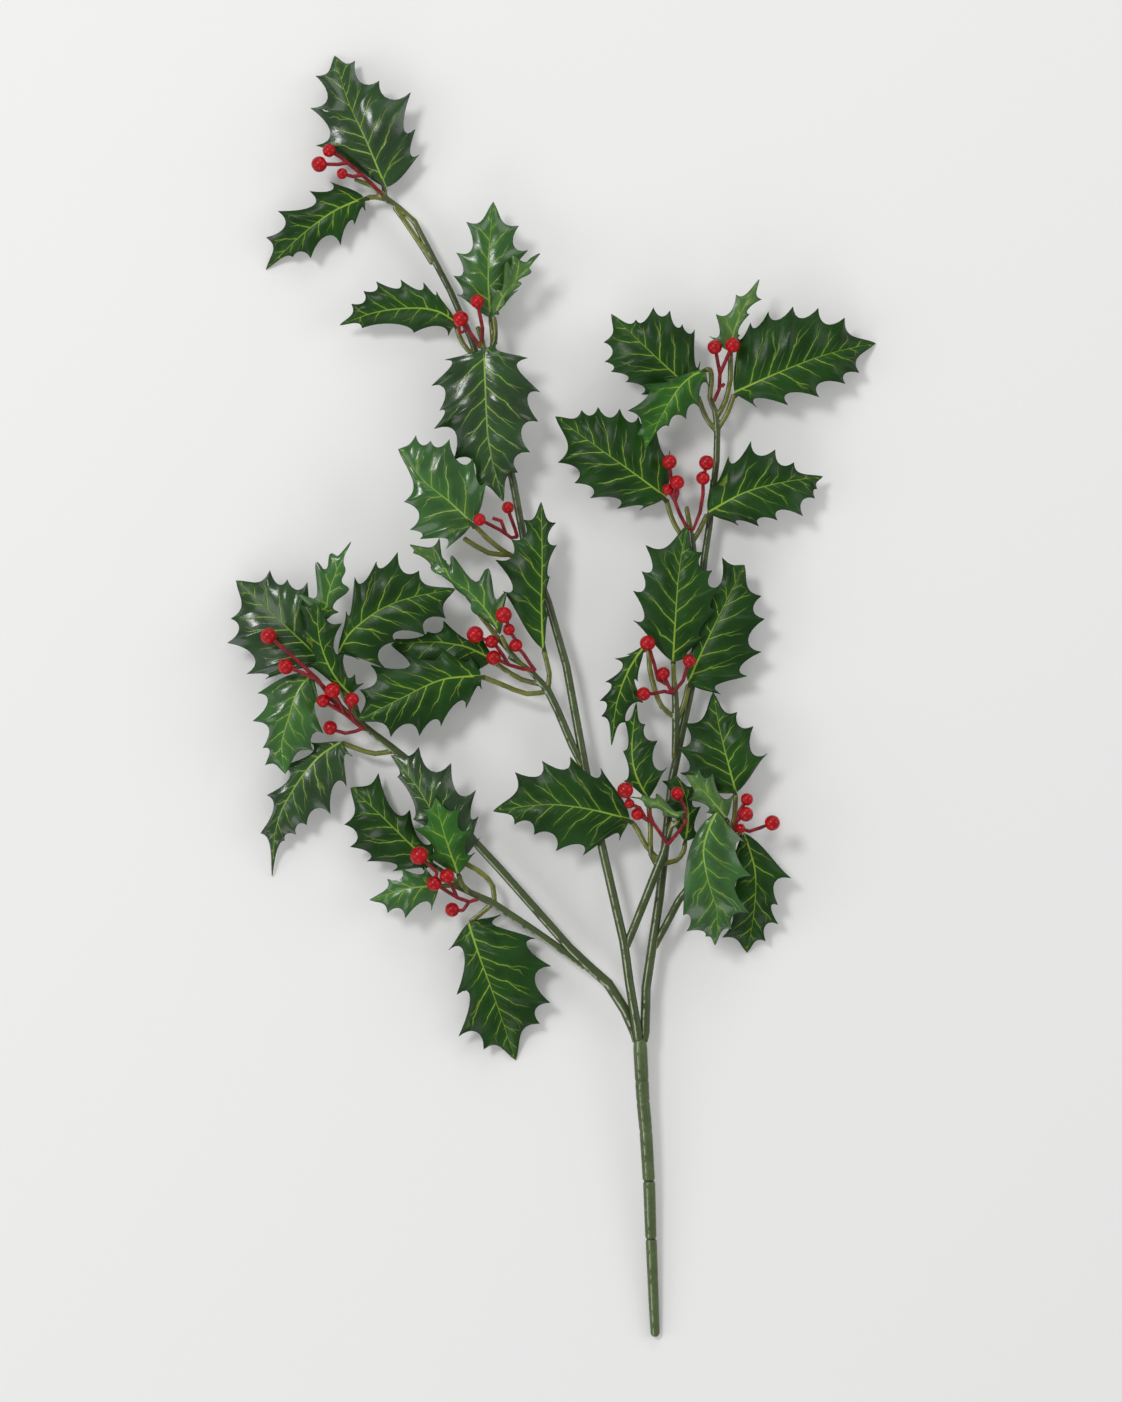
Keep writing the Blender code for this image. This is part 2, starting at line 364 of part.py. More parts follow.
    "leaf_right_lower_3": dict(
        rib=((67.9, -66.0), (58.5, -58.8), (51.0, -56.4), (41.8, -54.3)),
        left=((60.0, -64.4), (50.4, -59.6)),
        right=((72.2, -61.6), (57.6, -53.4), (49.6, -53.4)),
        z=(29.8, 34.0, 33.0), lift=(-4.0, 3.0), swell=(0.03, 0.03)),
    "leaf_right_lower_4": dict(
        rib=((72.0, -78.7), (73.6, -66.0), (72.0, -54.0), (67.0, -43.4)),
        left=((66.0, -70.0), (59.0, -58.0), (59.4, -46.2)),
        right=((81.6, -75.0), (80.4, -60.0), (77.6, -48.0)),
        z=(19.4, 20.0, 18.4), lift=(-1.0, -1.0), swell=(0.05, 0.04)),
    "leaf_right_outer_1": dict(
        rib=((99.4, -52.3), (95.0, -36.0), (90.6, -18.0), (87.3, 1.8)),
        left=((83.0, -53.0), (69.0, -41.7), (67.4, -27.8), (71.6, -14.8)),
        right=((116.4, -31.2), (108.8, -16.4), (100.2, -8.8)),
        z=(22.0, 23.0, 14.0), lift=(-2.0, -2.0), swell=(0.03, 0.05)),
    "leaf_right_outer_2": dict(
        rib=((94.0, -65.9), (84.0, -54.0), (71.8, -42.8)),
        left=((83.0, -63.0), (73.4, -56.4)),
        right=((98.4, -52.4), (86.6, -41.8), (79.2, -39.6)),
        z=(27.2, 29.0, 27.0), lift=(0.0, 0.0), swell=(0.05, 0.05)),
    "leaf_right_outer_3": dict(
        rib=((88.4, -63.0), (81.6, -80.0), (83.4, -98.0), (89.0, -117.0), (88.0, -135.0)),
        left=((104.0, -79.6), (107.4, -97.0), (106.4, -117.4), (97.0, -126.0)),
        right=((70.6, -118.6), (72.4, -127.4), (82.8, -130.2)),
        z=(33.8, 36.0, 24.0), lift=(-3.0, -4.0), swell=(0.04, 0.15)),
    "leaf_right_outer_4": dict(
        rib=((104.0, -74.6), (110.0, -95.0), (109.6, -118.0), (106.3, -140.2)),
        left=((129.8, -99.2), (122.6, -113.6), (122.9, -124.2), (116.2, -133.5)),
        right=((94.0, -98.0), (91.0, -116.0), (92.6, -131.6)),
        z=(17.8, 16.0, 0.6), lift=(-3.0, -2.0), swell=(0.06, 0.04)),
}

# Berry sprigs. berries: (x, y, z, radius). stalks: runs of (x, y, z). near: the stem they grow from.
BERRIES = {
    "berries_crown": dict(
        near="centre",
        berries=((-127.0, 289.0, 22.0, 4.3), (-121.6, 296.4, 22.5, 3.6), (-114.6, 284.0, 21.0, 3.0)),
        stalks=(
            (
                (-93.5, 273.8, 14.6), (-99.0, 279.4, 16.4), (-108.0, 287.0, 19.0),
                (-115.0, 292.6, 21.0), (-120.0, 295.6, 22.0),
            ),
            ((-112.0, 290.0, 20.0), (-117.0, 289.0, 21.0), (-124.0, 289.0, 22.0)),
            ((-104.0, 283.4, 17.8), (-109.0, 282.6, 19.6), (-113.0, 283.6, 20.8)),
        )),
    "berries_upper": dict(
        near="centre",
        berries=((-50.0, 204.6, 27.0, 4.3), (-41.0, 213.8, 30.0, 3.7)),
        stalks=(
            ((-39.6, 189.4, 21.6), (-44.0, 196.0, 24.0), (-48.6, 202.6, 26.4)),
            ((-38.6, 190.8, 21.4), (-38.2, 199.6, 24.4), (-40.6, 212.0, 29.4)),
            ((-38.9, 191.6, 21.6), (-41.0, 192.0, 22.6), (-43.4, 195.2, 23.8)),
            ((-46.2, 199.2, 25.2), (-50.4, 197.0, 24.4), (-51.4, 201.4, 26.0)),
        )),
    "berries_middle": dict(
        near="centre",
        berries=((-24.5, 102.5, 21.0, 3.3), (-39.6, 95.2, 40.0, 3.4)),
        stalks=(
            ((-19.4, 86.6, 19.0), (-20.6, 91.0, 19.6), (-24.0, 100.0, 20.8)),
            ((-19.4, 86.6, 19.0), (-22.6, 86.0, 23.0), (-28.6, 90.0, 30.0), (-37.6, 94.4, 38.4)),
            ((-25.6, 88.0, 26.6), (-28.0, 95.0, 27.6), (-32.6, 96.4, 28.6)),
        )),
    "berries_inner": dict(
        near="centre_side",
        berries=(
            (-26.6, 43.8, 37.0, 4.4), (-42.2, 33.4, 27.0, 4.6),
            (-33.2, 29.6, 27.4, 3.6), (-32.2, 20.8, 27.0, 4.0),
            (-20.1, 27.6, 27.0, 3.6), (-23.8, 36.0, 32.5, 3.2),
        ),
        stalks=(
            ((-9.6, 14.0, 22.6), (-12.0, 17.0, 23.2), (-16.0, 23.0, 25.0), (-19.0, 26.4, 26.4)),
            ((-9.6, 14.0, 22.6), (-16.0, 14.6, 23.0), (-24.0, 17.0, 24.4), (-30.6, 20.2, 26.4)),
            ((-24.0, 17.0, 24.4), (-27.0, 22.0, 25.8), (-31.6, 28.4, 27.0)),
            ((-33.2, 29.6, 27.4), (-38.0, 31.0, 27.0), (-41.0, 32.8, 27.0)),
            ((-20.1, 27.6, 27.0), (-20.6, 31.0, 29.4), (-23.8, 36.0, 32.5)),
            ((-23.8, 36.0, 32.5), (-24.6, 40.0, 35.0), (-26.0, 42.6, 36.4)),
        )),
    "berries_left": dict(
        near="left",
        berries=(
            (-154.0, 32.5, 30.0, 4.4), (-144.6, 16.0, 31.0, 4.2),
            (-119.2, 3.0, 33.0, 4.2), (-124.4, -2.6, 29.6, 3.6),
            (-108.8, -1.8, 31.0, 3.8), (-121.2, -17.2, 19.0, 3.9),
        ),
        stalks=(
            ((-102.6, -18.2, 18.6), (-106.0, -15.6, 20.4), (-113.0, -9.6, 24.0), (-121.0, -1.0, 27.0),
             (-127.0, 8.6, 29.4), (-138.0, 19.0, 32.0), (-152.0, 31.0, 31.0)),
            ((-127.0, 8.6, 29.4), (-135.0, 12.4, 31.6), (-143.0, 15.4, 31.6)),
            ((-113.0, -9.6, 24.0), (-116.0, -3.0, 29.0), (-118.6, 1.6, 32.0)),
            ((-113.0, -9.6, 24.0), (-118.0, -6.6, 26.6), (-123.0, -3.4, 29.0)),
            ((-106.0, -15.6, 20.4), (-110.4, -9.0, 25.4), (-109.4, -3.6, 30.0)),
            ((-103.6, -17.6, 19.0), (-107.6, -19.2, 19.0), (-113.0, -20.2, 19.0), (-118.6, -18.6, 19.0)),
        )),
    "berries_lower_left": dict(
        near="left_side",
        berries=(
            (-72.4, -86.3, 34.0, 4.9), (-57.4, -97.6, 29.0, 4.0),
            (-64.4, -101.6, 27.6, 4.1), (-54.9, -116.3, 17.0, 3.9),
        ),
        stalks=(
            ((-41.0, -110.6, 16.6), (-45.6, -112.0, 16.8), (-49.0, -116.6, 17.0), (-52.6, -116.8, 17.0)),
            ((-45.6, -112.0, 16.8), (-52.0, -109.6, 20.0), (-59.0, -105.0, 25.0), (-62.6, -102.6, 27.0)),
            ((-52.0, -109.6, 20.0), (-54.4, -104.0, 24.6), (-56.6, -99.6, 28.0)),
            ((-64.4, -101.6, 27.6), (-62.8, -95.6, 30.0), (-70.4, -88.2, 33.2)),
        )),
    "berries_right_crown": dict(
        near="right",
        berries=((87.7, 189.2, 28.0, 3.95), (97.4, 190.2, 29.0, 4.1)),
        stalks=(
            ((87.6, 160.4, 19.0), (90.4, 167.0, 21.0), (90.7, 175.0, 24.0), (88.4, 186.4, 27.4)),
            ((90.7, 175.0, 24.0), (96.6, 188.6, 28.6)),
            ((90.5, 168.4, 21.6), (92.2, 168.6, 22.6), (93.0, 169.6, 23.0)),
        )),
    "berries_right_upper": dict(
        near="right_upper",
        berries=(
            (63.3, 127.2, 24.0, 4.0), (67.4, 116.0, 25.0, 3.9),
            (62.6, 112.4, 20.4, 3.2), (83.5, 126.8, 22.0, 4.1),
            (81.5, 118.4, 22.4, 3.7),
        ),
        stalks=(
            (
                (73.0, 91.4, 19.0), (69.0, 99.0, 19.6), (66.4, 106.0, 20.4),
                (64.2, 118.0, 22.0), (63.4, 124.6, 23.6),
            ),
            ((66.4, 106.0, 20.4), (67.8, 110.0, 22.6), (67.6, 113.4, 24.0)),
            ((66.4, 106.0, 20.4), (64.4, 109.4, 20.4), (63.2, 111.2, 20.4)),
            (
                (73.0, 91.4, 19.0), (76.4, 90.8, 19.0), (80.0, 100.0, 20.0),
                (81.6, 110.0, 21.2), (81.5, 117.0, 22.2),
            ),
            ((81.5, 118.4, 22.4), (82.6, 122.0, 22.2), (83.2, 125.0, 22.0)),
        )),
    "berries_right_middle": dict(
        near="right_middle",
        berries=(
            (51.2, 28.6, 32.0, 4.2), (73.8, 19.0, 30.0, 3.5),
            (59.8, 12.2, 26.0, 3.6), (49.2, 1.2, 26.6, 3.7),
        ),
        stalks=(
            ((65.0, 1.6, 22.0), (62.6, 6.0, 23.4), (60.6, 10.2, 25.2)),
            ((62.6, 6.0, 23.4), (57.0, 9.0, 25.4), (55.0, 17.0, 28.0), (52.2, 26.0, 31.0)),
            ((65.0, 1.6, 22.0), (60.4, 2.6, 23.6), (55.0, 1.4, 25.6), (51.4, 1.2, 26.4)),
            (
                (65.0, 1.6, 22.0), (67.6, 4.6, 24.0), (70.6, 8.4, 26.0),
                (71.6, 12.0, 27.6), (73.0, 17.0, 29.4),
            ),
        )),
    "berries_right_lower": dict(
        near="cross",
        berries=(
            (39.1, -50.9, 36.5, 4.3), (45.9, -63.9, 28.0, 3.4),
            (67.4, -52.8, 28.0, 3.6), (41.4, -58.2, 32.6, 2.7),
        ),
        stalks=(
            ((62.4, -80.4, 27.0), (58.0, -74.0, 27.4), (54.2, -68.6, 28.0), (52.0, -62.6, 29.4)),
            ((54.2, -68.6, 28.0), (50.6, -67.0, 28.0), (47.4, -64.8, 28.0)),
            (
                (50.6, -67.0, 28.0), (47.0, -60.6, 30.0), (42.6, -58.6, 32.0),
                (40.4, -54.6, 34.6), (39.6, -52.4, 35.6),
            ),
            (
                (62.4, -80.4, 27.0), (66.0, -76.0, 28.6), (71.6, -69.0, 29.6),
                (71.6, -61.0, 28.6), (68.6, -54.6, 28.2),
            ),
        )),
    "berries_right_outer": dict(
        near="right_outer",
        berries=(
            (105.2, -56.0, 28.0, 3.4), (104.6, -64.0, 29.0, 4.0),
            (119.0, -68.8, 26.0, 4.2), (101.8, -71.8, 26.0, 2.6),
        ),
        stalks=(
            ((96.0, -75.0, 24.6), (98.6, -73.6, 25.2), (101.0, -72.2, 25.8)),
            ((101.8, -71.8, 26.0), (106.6, -73.4, 26.0), (112.6, -71.4, 26.0), (116.6, -69.6, 26.0)),
            ((98.6, -73.6, 25.2), (99.6, -68.0, 27.2), (102.6, -65.0, 28.6)),
            ((99.6, -68.0, 27.2), (101.0, -62.6, 27.4), (104.2, -57.6, 28.0)),
        )),
}

COLOURS = {
    "stem": (0.075, 0.115, 0.045, 1.0),
    "leaf": (0.018, 0.085, 0.028, 1.0),
    "pale_leaf": (0.130, 0.260, 0.120, 1.0),
    "berry": (0.520, 0.010, 0.020, 1.0),
}
PALE_LEAVES = ("leaf_upper_3", "leaf_inner_4", "leaf_right_crown_3", "leaf_right_lower_3")


# ---------------------------------------------------------------- helpers


def clear_scene():
    for obj in list(bpy.data.objects):
        bpy.data.objects.remove(obj, do_unlink=True)


def make_material(name, roughness):
    material = bpy.data.materials.new(name)
    material.use_nodes = True
    shader = material.node_tree.nodes["Principled BSDF"]
    shader.inputs["Base Color"].default_value = COLOURS[name]
    shader.inputs["Roughness"].default_value = roughness
    shader.inputs["Metallic"].default_value = 0.0
    return material


def link(name, mesh, collection):
    obj = bpy.data.objects.new(name, mesh)
    collection.objects.link(obj)
    return obj


def evaluated_mesh(obj):
    bpy.context.view_layer.update()
    graph = bpy.context.evaluated_depsgraph_get()
    return bpy.data.meshes.new_from_object(obj.evaluated_get(graph))


def smooth_run(points, per_span):
    """Catmull-Rom points through every given point, whatever its number of coordinates."""
    count = len(points)
    if count < 3:
        per_span = 1
    run = []
    for i in range(count - 1):
        before = points[max(i - 1, 0)]
        start = points[i]
        end = points[i + 1]
        after = points[min(i + 2, count - 1)]
        for step in range(per_span):
            t = step / per_span
            run.append(tuple(
                0.5 * (
                    2 * b + (c - a) * t + (2 * a - 5 * b + 4 * c - d) * t * t
                    + (3 * b - a - 3 * c + d) * t ** 3
                )
                for a, b, c, d in zip(before, start, end, after)
            ))
    run.append(tuple(points[-1]))
    return run


def lengthened(run, extra):
    """The run with both ends moved outwards."""
    run = list(run)
    for end, inner in ((0, 1), (-1, -2)):
        here = Vector(run[end][:3])
        away = (here - Vector(run[inner][:3])).normalized()
        run[end] = tuple(here + away * extra) + (run[end][3],)
    return run


def tube(name, run, sides, collection, extra=0.0):
    """A closed round tube along (x, y, z, radius) points, made from a bevelled curve with filled caps."""
    curve = bpy.data.curves.new(name, "CURVE")
    curve.dimensions = "3D"
    curve.bevel_depth = MM
    curve.bevel_resolution = (sides - 4) // 2
    curve.use_fill_caps = True
    spline = curve.splines.new("POLY")
    spline.points.add(len(run) - 1)
    if extra:
        run = lengthened(run, extra)
    for point, (x, y, z, radius) in zip(spline.points, run):
        point.co = (x * MM, y * MM, z * MM, 1.0)
        point.radius = radius + extra
    guide = link(name + "_guide", curve, collection)
    mesh = evaluated_mesh(guide)
    bpy.data.objects.remove(guide, do_unlink=True)
    weld = bmesh.new()
    weld.from_mesh(mesh)
    bmesh.ops.remove_doubles(weld, verts=weld.verts, dist=1e-6)
    bmesh.ops.recalc_face_normals(weld, faces=weld.faces)
    weld.to_mesh(mesh)
    weld.free()
    return helper(name, mesh, collection)


def helper(name, mesh, collection):
    obj = link(name, mesh, collection)
    obj.hide_render = True
    obj.display_type = "WIRE"
    return obj


def ball(name, centre, radius, collection):
    mesh = bpy.data.meshes.new(name)
    shape = bmesh.new()
    bmesh.ops.create_icosphere(shape, subdivisions=2, radius=radius * MM)
    bmesh.ops.translate(shape, verts=shape.verts, vec=Vector(centre) * MM)
    shape.to_mesh(mesh)
    shape.free()
    return helper(name, mesh, collection)


def combine(name, pieces, cutters, material, collection):
    """Unions the pieces, takes the cutters away from them, and keeps the result as one named body."""
    base = pieces[0]
    for kind, others in (("UNION", pieces[1:]), ("DIFFERENCE", cutters)):
        for other in others:
            modifier = base.modifiers.new(kind.title(), "BOOLEAN")
            modifier.operation = kind
            modifier.solver = "EXACT"
            modifier.object = other
    mesh = evaluated_mesh(base)
    mesh.name = name
    mesh.materials.clear()
    mesh.materials.append(material)
    for obj in list(pieces) + list(cutters):
        bpy.data.objects.remove(obj, do_unlink=True)
    return link(name, mesh, collection)


# ---------------------------------------------------------------- stems and berries


def with_radius(points, radius):
    return [tuple(point) + (radius,) for point in points]


def petiole_run(points):
    """A petiole stops LEAF_GAP short of its last point, which is the base of its leaf."""
    run = [Vector(point) for point in points]
    run[-1] += (run[-2] - run[-1]).normalized() * LEAF_GAP
    smooth = smooth_run([tuple(point) for point in run], 2)
    return with_radius(smooth, PETIOLE_RADIUS)


def stem_runs(stem, petioles):
    """Every tube of a stem, as (run, sides)."""
    runs = [(list(stem), STEM_SIDES)]
    runs += [(petiole_run(points), FINE_SIDES) for points in petioles]
    return runs


def build_stem(name, runs, parents, material, collection):
    pieces = [tube(f"{name}_{i}", run, sides, collection) for i, (run, sides) in enumerate(runs)]
    cutters = [
        tube(f"{name}_clear_{i}", run, sides, collection, extra=GAP)
        for i, (run, sides) in enumerate(parents)
    ]
    return combine(name, pieces, cutters, material, collection)


def build_berries(name, sprig, nearby, material, collection):
    pieces = []
    for i, points in enumerate(sprig["stalks"]):
        run = with_radius(points, STALK_RADIUS)
        pieces.append(tube(f"{name}_stalk_{i}", run, FINE_SIDES, collection))
    for i, (x, y, z, radius) in enumerate(sprig["berries"]):
        pieces.append(ball(f"{name}_ball_{i}", (x, y, z), radius, collection))
    cutters = [
        tube(f"{name}_clear_{i}", run, sides, collection, extra=GAP)
        for i, (run, sides) in enumerate(nearby)
    ]
    return combine(name, pieces, cutters, material, collection)


# ---------------------------------------------------------------- leaves


class Midrib:
    """The plan line of a midrib with its heights, read at a share of its length."""

    def __init__(self, rib, heights):
        self.points = [Vector(point) for point in smooth_run(rib, 12)]
        self.reach = [0.0]
        for a, b in zip(self.points, self.points[1:]):
            self.reach.append(self.reach[-1] + (b - a).length)
        self.length = self.reach[-1]
        self.heights = heights

    def plan(self, share):
        wanted = min(max(share, 0.0), 1.0) * self.length
        for i in range(len(self.points) - 1):
            if wanted <= self.reach[i + 1]:
                t = (wanted - self.reach[i]) / (self.reach[i + 1] - self.reach[i])
                return self.points[i].lerp(self.points[i + 1], t)
        return self.points[-1].copy()

    def height(self, share):
        base, middle, tip = self.heights
        return (
            base * (1 - share) * (1 - 2 * share)
            + 4 * middle * share * (1 - share)
            + tip * share * (2 * share - 1)
        )

    def share_beside(self, point):
        gaps = [(point - own).length for own in self.points]
        nearest = gaps.index(min(gaps))
        return self.reach[nearest] / self.length


def vein_roots(midrib, spines):
    """The share of the midrib where each spine's side vein starts."""
    roots = []
    for number, spine in enumerate(spines):
        beside = midrib.share_beside(spine)
        reach = (spine - midrib.plan(beside)).length
        root = beside - VEIN_SLANT * reach / midrib.length
        lowest = roots[-1] + 0.03 if roots else 0.02
        roots.append(min(max(root, lowest), 0.97 - 0.02 * (len(spines) - number)))
    return roots


def cubic(a, b, c, d, t):
    return a * (1 - t) ** 3 + b * 3 * t * (1 - t) ** 2 + c * 3 * t * t * (1 - t) + d * t ** 3


def edge_controls(midrib, spines, roots, side, swell):
    """The two handles of each run of the edge, from the base over every spine to the tip."""
    base = midrib.plan(0.0)
    tip = midrib.plan(1.0)
    corners = [base] + spines + [tip]
    inward = [midrib.plan(root) - spine for root, spine in zip(roots, spines)]
    handles = []
    for i in range(len(corners) - 1):
        start = corners[i]
        end = corners[i + 1]
        chord = end - start
        outward = Vector((-chord.y, chord.x)) * side
        if i == 0:
            first = start + chord * 0.30 + outward * (1.7 * swell)
            second = start + chord * 0.74 + outward * (1.2 * swell - 0.11)
        elif i == len(corners) - 2:
            depth = min(0.52 * chord.length, 0.70 * inward[-1].length)
            first = start + chord * 0.12 + inward[-1].normalized() * depth
            second = end - chord * 0.40 - outward * 0.10
        else:
            reach = min(inward[i - 1].length, inward[i].length)
            depth = min(0.60 * chord.length, 0.80 * reach)
            first = start + chord * 0.10 + inward[i - 1].normalized() * depth
            second = end - chord * 0.36 + inward[i].normalized() * depth
        handles.append((first, second))
    return corners, handles


def edge_points(midrib, leaf, side):
    """Points of one edge from base to tip, as (x, y, z) in mm with their share of the midrib."""
    spines = [Vector(spine) for spine in leaf["left" if side > 0 else "right"]]
    swell = leaf["swell"][0 if side > 0 else 1]
    lift = leaf["lift"][0 if side > 0 else 1]
    roots = vein_roots(midrib, spines)
    corners, handles = edge_controls(midrib, spines, roots, side, swell)
    shares = [0.0] + roots + [1.0]
    widest = max((midrib.plan(root) - spine).length for root, spine in zip(roots, spines))
    points = []
    for i, (first, second) in enumerate(handles):
        for step in range(1, SCALLOP_STEPS + 1):
            t = step / SCALLOP_STEPS
            if i == len(handles) - 1 and step == SCALLOP_STEPS:
                break
            plan = cubic(corners[i], first, second, corners[i + 1], t)
            share = shares[i] + (shares[i + 1] - shares[i]) * t
            reach = (plan - midrib.plan(share)).length / widest
            height = midrib.height(share) + lift * reach ** 1.3
            if step == SCALLOP_STEPS:
                height += SPINE_CURL * (1 if i % 2 else -0.5)
            points.append((Vector((plan.x, plan.y, height)), share))
    return points


def build_leaf(name, leaf, material, collection):
    """A sheet of two halves joined at the midrib, thickened evenly to both sides."""
    midrib = Midrib(leaf["rib"], leaf["z"])
    sheet = bmesh.new()
    shares = [step / RIB_STEPS for step in range(RIB_STEPS + 1)]
    rib = []
    for share in shares:
        plan = midrib.plan(share)
        rib.append(sheet.verts.new(Vector((plan.x, plan.y, midrib.height(share))) * MM))
    for side in (1, -1):
        edge = [(rib[0], 0.0)]
        edge += [(sheet.verts.new(point * MM), share) for point, share in edge_points(midrib, leaf, side)]
        edge.append((rib[-1], 1.0))
        i = 0
        j = 0
        while i < RIB_STEPS or j < len(edge) - 1:
            on_rib = j == len(edge) - 1 or (i < RIB_STEPS and shares[i + 1] <= edge[j + 1][1])
            if i == 0 and j == 0:
                corners = (rib[0], rib[1], edge[1][0])
                i = 1
                j = 1
            elif i == RIB_STEPS - 1 and j == len(edge) - 2:
                corners = (rib[i], rib[-1], edge[j][0])
                i += 1
                j += 1
            elif i < RIB_STEPS - 1 and (on_rib or j == len(edge) - 2):
                corners = (rib[i], rib[i + 1], edge[j][0])
                i += 1
            else:
                corners = (rib[i], edge[j + 1][0], edge[j][0])
                j += 1
            sheet.faces.new(corners if side > 0 else corners[::-1])
    mesh = bpy.data.meshes.new(name + "_sheet")
    sheet.to_mesh(mesh)
    sheet.free()
    blade = helper(name + "_sheet", mesh, collection)
    thicken = blade.modifiers.new("Solidify", "SOLIDIFY")
    thicken.thickness = BLADE_THICKNESS * MM
    thicken.offset = 0.0
    return combine(name, [blade], [], material, collection)


# ---------------------------------------------------------------- the spray


def main():
    clear_scene()
    collection = bpy.data.collections.new("holly_sprig")
    bpy.context.scene.collection.children.link(collection)
    stem = make_material("stem", 0.45)
    leaf = make_material("leaf", 0.35)
    pale_leaf = make_material("pale_leaf", 0.5)
    berry = make_material("berry", 0.2)

    trunk = [(list(TRUNK), STEM_SIDES + 4)]
    centre = stem_runs(CENTRE_BRANCH, PETIOLES["centre"])
    centre_side = stem_runs(CENTRE_SIDE_BRANCH, PETIOLES["centre_side"])
    left = stem_runs(LEFT_BRANCH, PETIOLES["left"])
    left_side = stem_runs(LEFT_SIDE_BRANCH, PETIOLES["left_side"])
    cross = stem_runs(CROSS_BRANCH, PETIOLES["cross"])
    right = stem_runs(RIGHT_BRANCH, PETIOLES["right"])
    right_upper = stem_runs(RIGHT_UPPER_STEM, PETIOLES["right_upper"])
    right_middle = stem_runs(RIGHT_MIDDLE_STEM, PETIOLES["right_middle"])
    right_outer = stem_runs(RIGHT_OUTER_STEM, PETIOLES["right_outer"])

    build_stem("trunk", trunk, [], stem, collection)
    build_stem("centre_branch", centre, trunk, stem, collection)
    build_stem("centre_side_branch", centre_side, centre[:1], stem, collection)
    build_stem("left_branch", left, trunk + centre[:1], stem, collection)
    build_stem("left_side_branch", left_side, left[:1], stem, collection)
    build_stem("cross_branch", cross, centre[:1], stem, collection)
    build_stem("right_branch", right + right_upper, trunk + centre[:1] + left[:1], stem, collection)
    build_stem("right_middle_stem", right_middle, right[:1], stem, collection)
    build_stem("right_outer_stem", right_outer, right[:1], stem, collection)

    runs = {
        "centre": centre, "centre_side": centre_side, "left": left, "left_side": left_side, "cross": cross,
        "right": right, "right_upper": right_upper, "right_middle": right_middle,
        "right_outer": right_outer,
    }
    for name, sprig in BERRIES.items():
        build_berries(name, sprig, runs[sprig["near"]], berry, collection)
    for name, sizes in LEAVES.items():
        build_leaf(name, sizes, pale_leaf if name in PALE_LEAVES else leaf, collection)

    shift = Matrix.Translation(Vector(SHIFT) * MM)
    for obj in collection.objects:
        obj.data.transform(shift)


main()
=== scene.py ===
"""Holly spray: veined leaves, moulded stems and glossy berries in place of its plain solids."""

import math

import bmesh
import bpy
import numpy as np
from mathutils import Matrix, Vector, kdtree, noise
from mathutils.bvhtree import BVHTree


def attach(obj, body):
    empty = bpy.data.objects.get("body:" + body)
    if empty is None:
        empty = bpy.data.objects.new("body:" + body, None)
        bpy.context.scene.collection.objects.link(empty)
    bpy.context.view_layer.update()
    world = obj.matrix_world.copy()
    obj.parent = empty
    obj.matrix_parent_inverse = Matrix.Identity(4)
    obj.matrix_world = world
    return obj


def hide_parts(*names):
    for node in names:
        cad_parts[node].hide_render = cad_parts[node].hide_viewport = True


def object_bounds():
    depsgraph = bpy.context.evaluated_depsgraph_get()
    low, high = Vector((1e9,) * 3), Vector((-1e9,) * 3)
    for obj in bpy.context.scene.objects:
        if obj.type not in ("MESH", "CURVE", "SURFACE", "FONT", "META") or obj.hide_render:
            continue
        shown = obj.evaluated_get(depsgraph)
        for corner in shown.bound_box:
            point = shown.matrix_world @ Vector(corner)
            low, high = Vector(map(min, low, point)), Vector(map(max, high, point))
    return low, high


bl_info = {
    "name": "Holly spray",
    "version": (1, 0, 0),
    "blender": (4, 5, 0),
    "location": "3D View > Sidebar > Holly",
    "description": "Makes the leaves, stems and berries of a moulded holly spray on its packed frame",
    "category": "Add Mesh",
}

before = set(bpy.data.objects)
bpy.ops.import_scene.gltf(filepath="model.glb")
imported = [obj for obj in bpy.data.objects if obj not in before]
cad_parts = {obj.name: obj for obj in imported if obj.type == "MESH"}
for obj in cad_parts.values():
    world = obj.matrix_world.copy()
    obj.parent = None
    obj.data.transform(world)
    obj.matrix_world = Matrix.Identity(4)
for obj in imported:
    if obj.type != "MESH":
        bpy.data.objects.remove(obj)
CAD_BOX = [list(corner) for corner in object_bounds()]

MM = 0.001
MERGE = 1e-6
STEM_NODES = (
    "trunk", "centre_branch", "centre_side_branch", "left_branch", "left_side_branch", "cross_branch",
    "right_branch", "right_middle_stem", "right_outer_stem",
)
LEAF_NODES = sorted(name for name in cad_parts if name.startswith("leaf_"))
BERRY_NODES = sorted(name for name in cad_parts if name.startswith("berries_"))

# How each leaf differs from the ordinary dark one.
BRIGHT_LEAVES = ("leaf_middle_1", "leaf_inner_3", "leaf_left_2", "leaf_left_4", "leaf_lower_left_3",
                 "leaf_lower_left_4", "leaf_right_crown_2", "leaf_right_outer_3", "leaf_upper_1")
SHINY_LEAVES = ("leaf_crown_1", "leaf_upper_1", "leaf_upper_4", "leaf_middle_1", "leaf_inner_3",
                "leaf_left_1", "leaf_left_2", "leaf_left_4", "leaf_left_5", "leaf_lower_left_2",
                "leaf_lower_left_4", "leaf_right_outer_3")
PALE_LEAVES = ("leaf_upper_3", "leaf_inner_4", "leaf_right_crown_3", "leaf_right_lower_3",
               "leaf_right_outer_2")

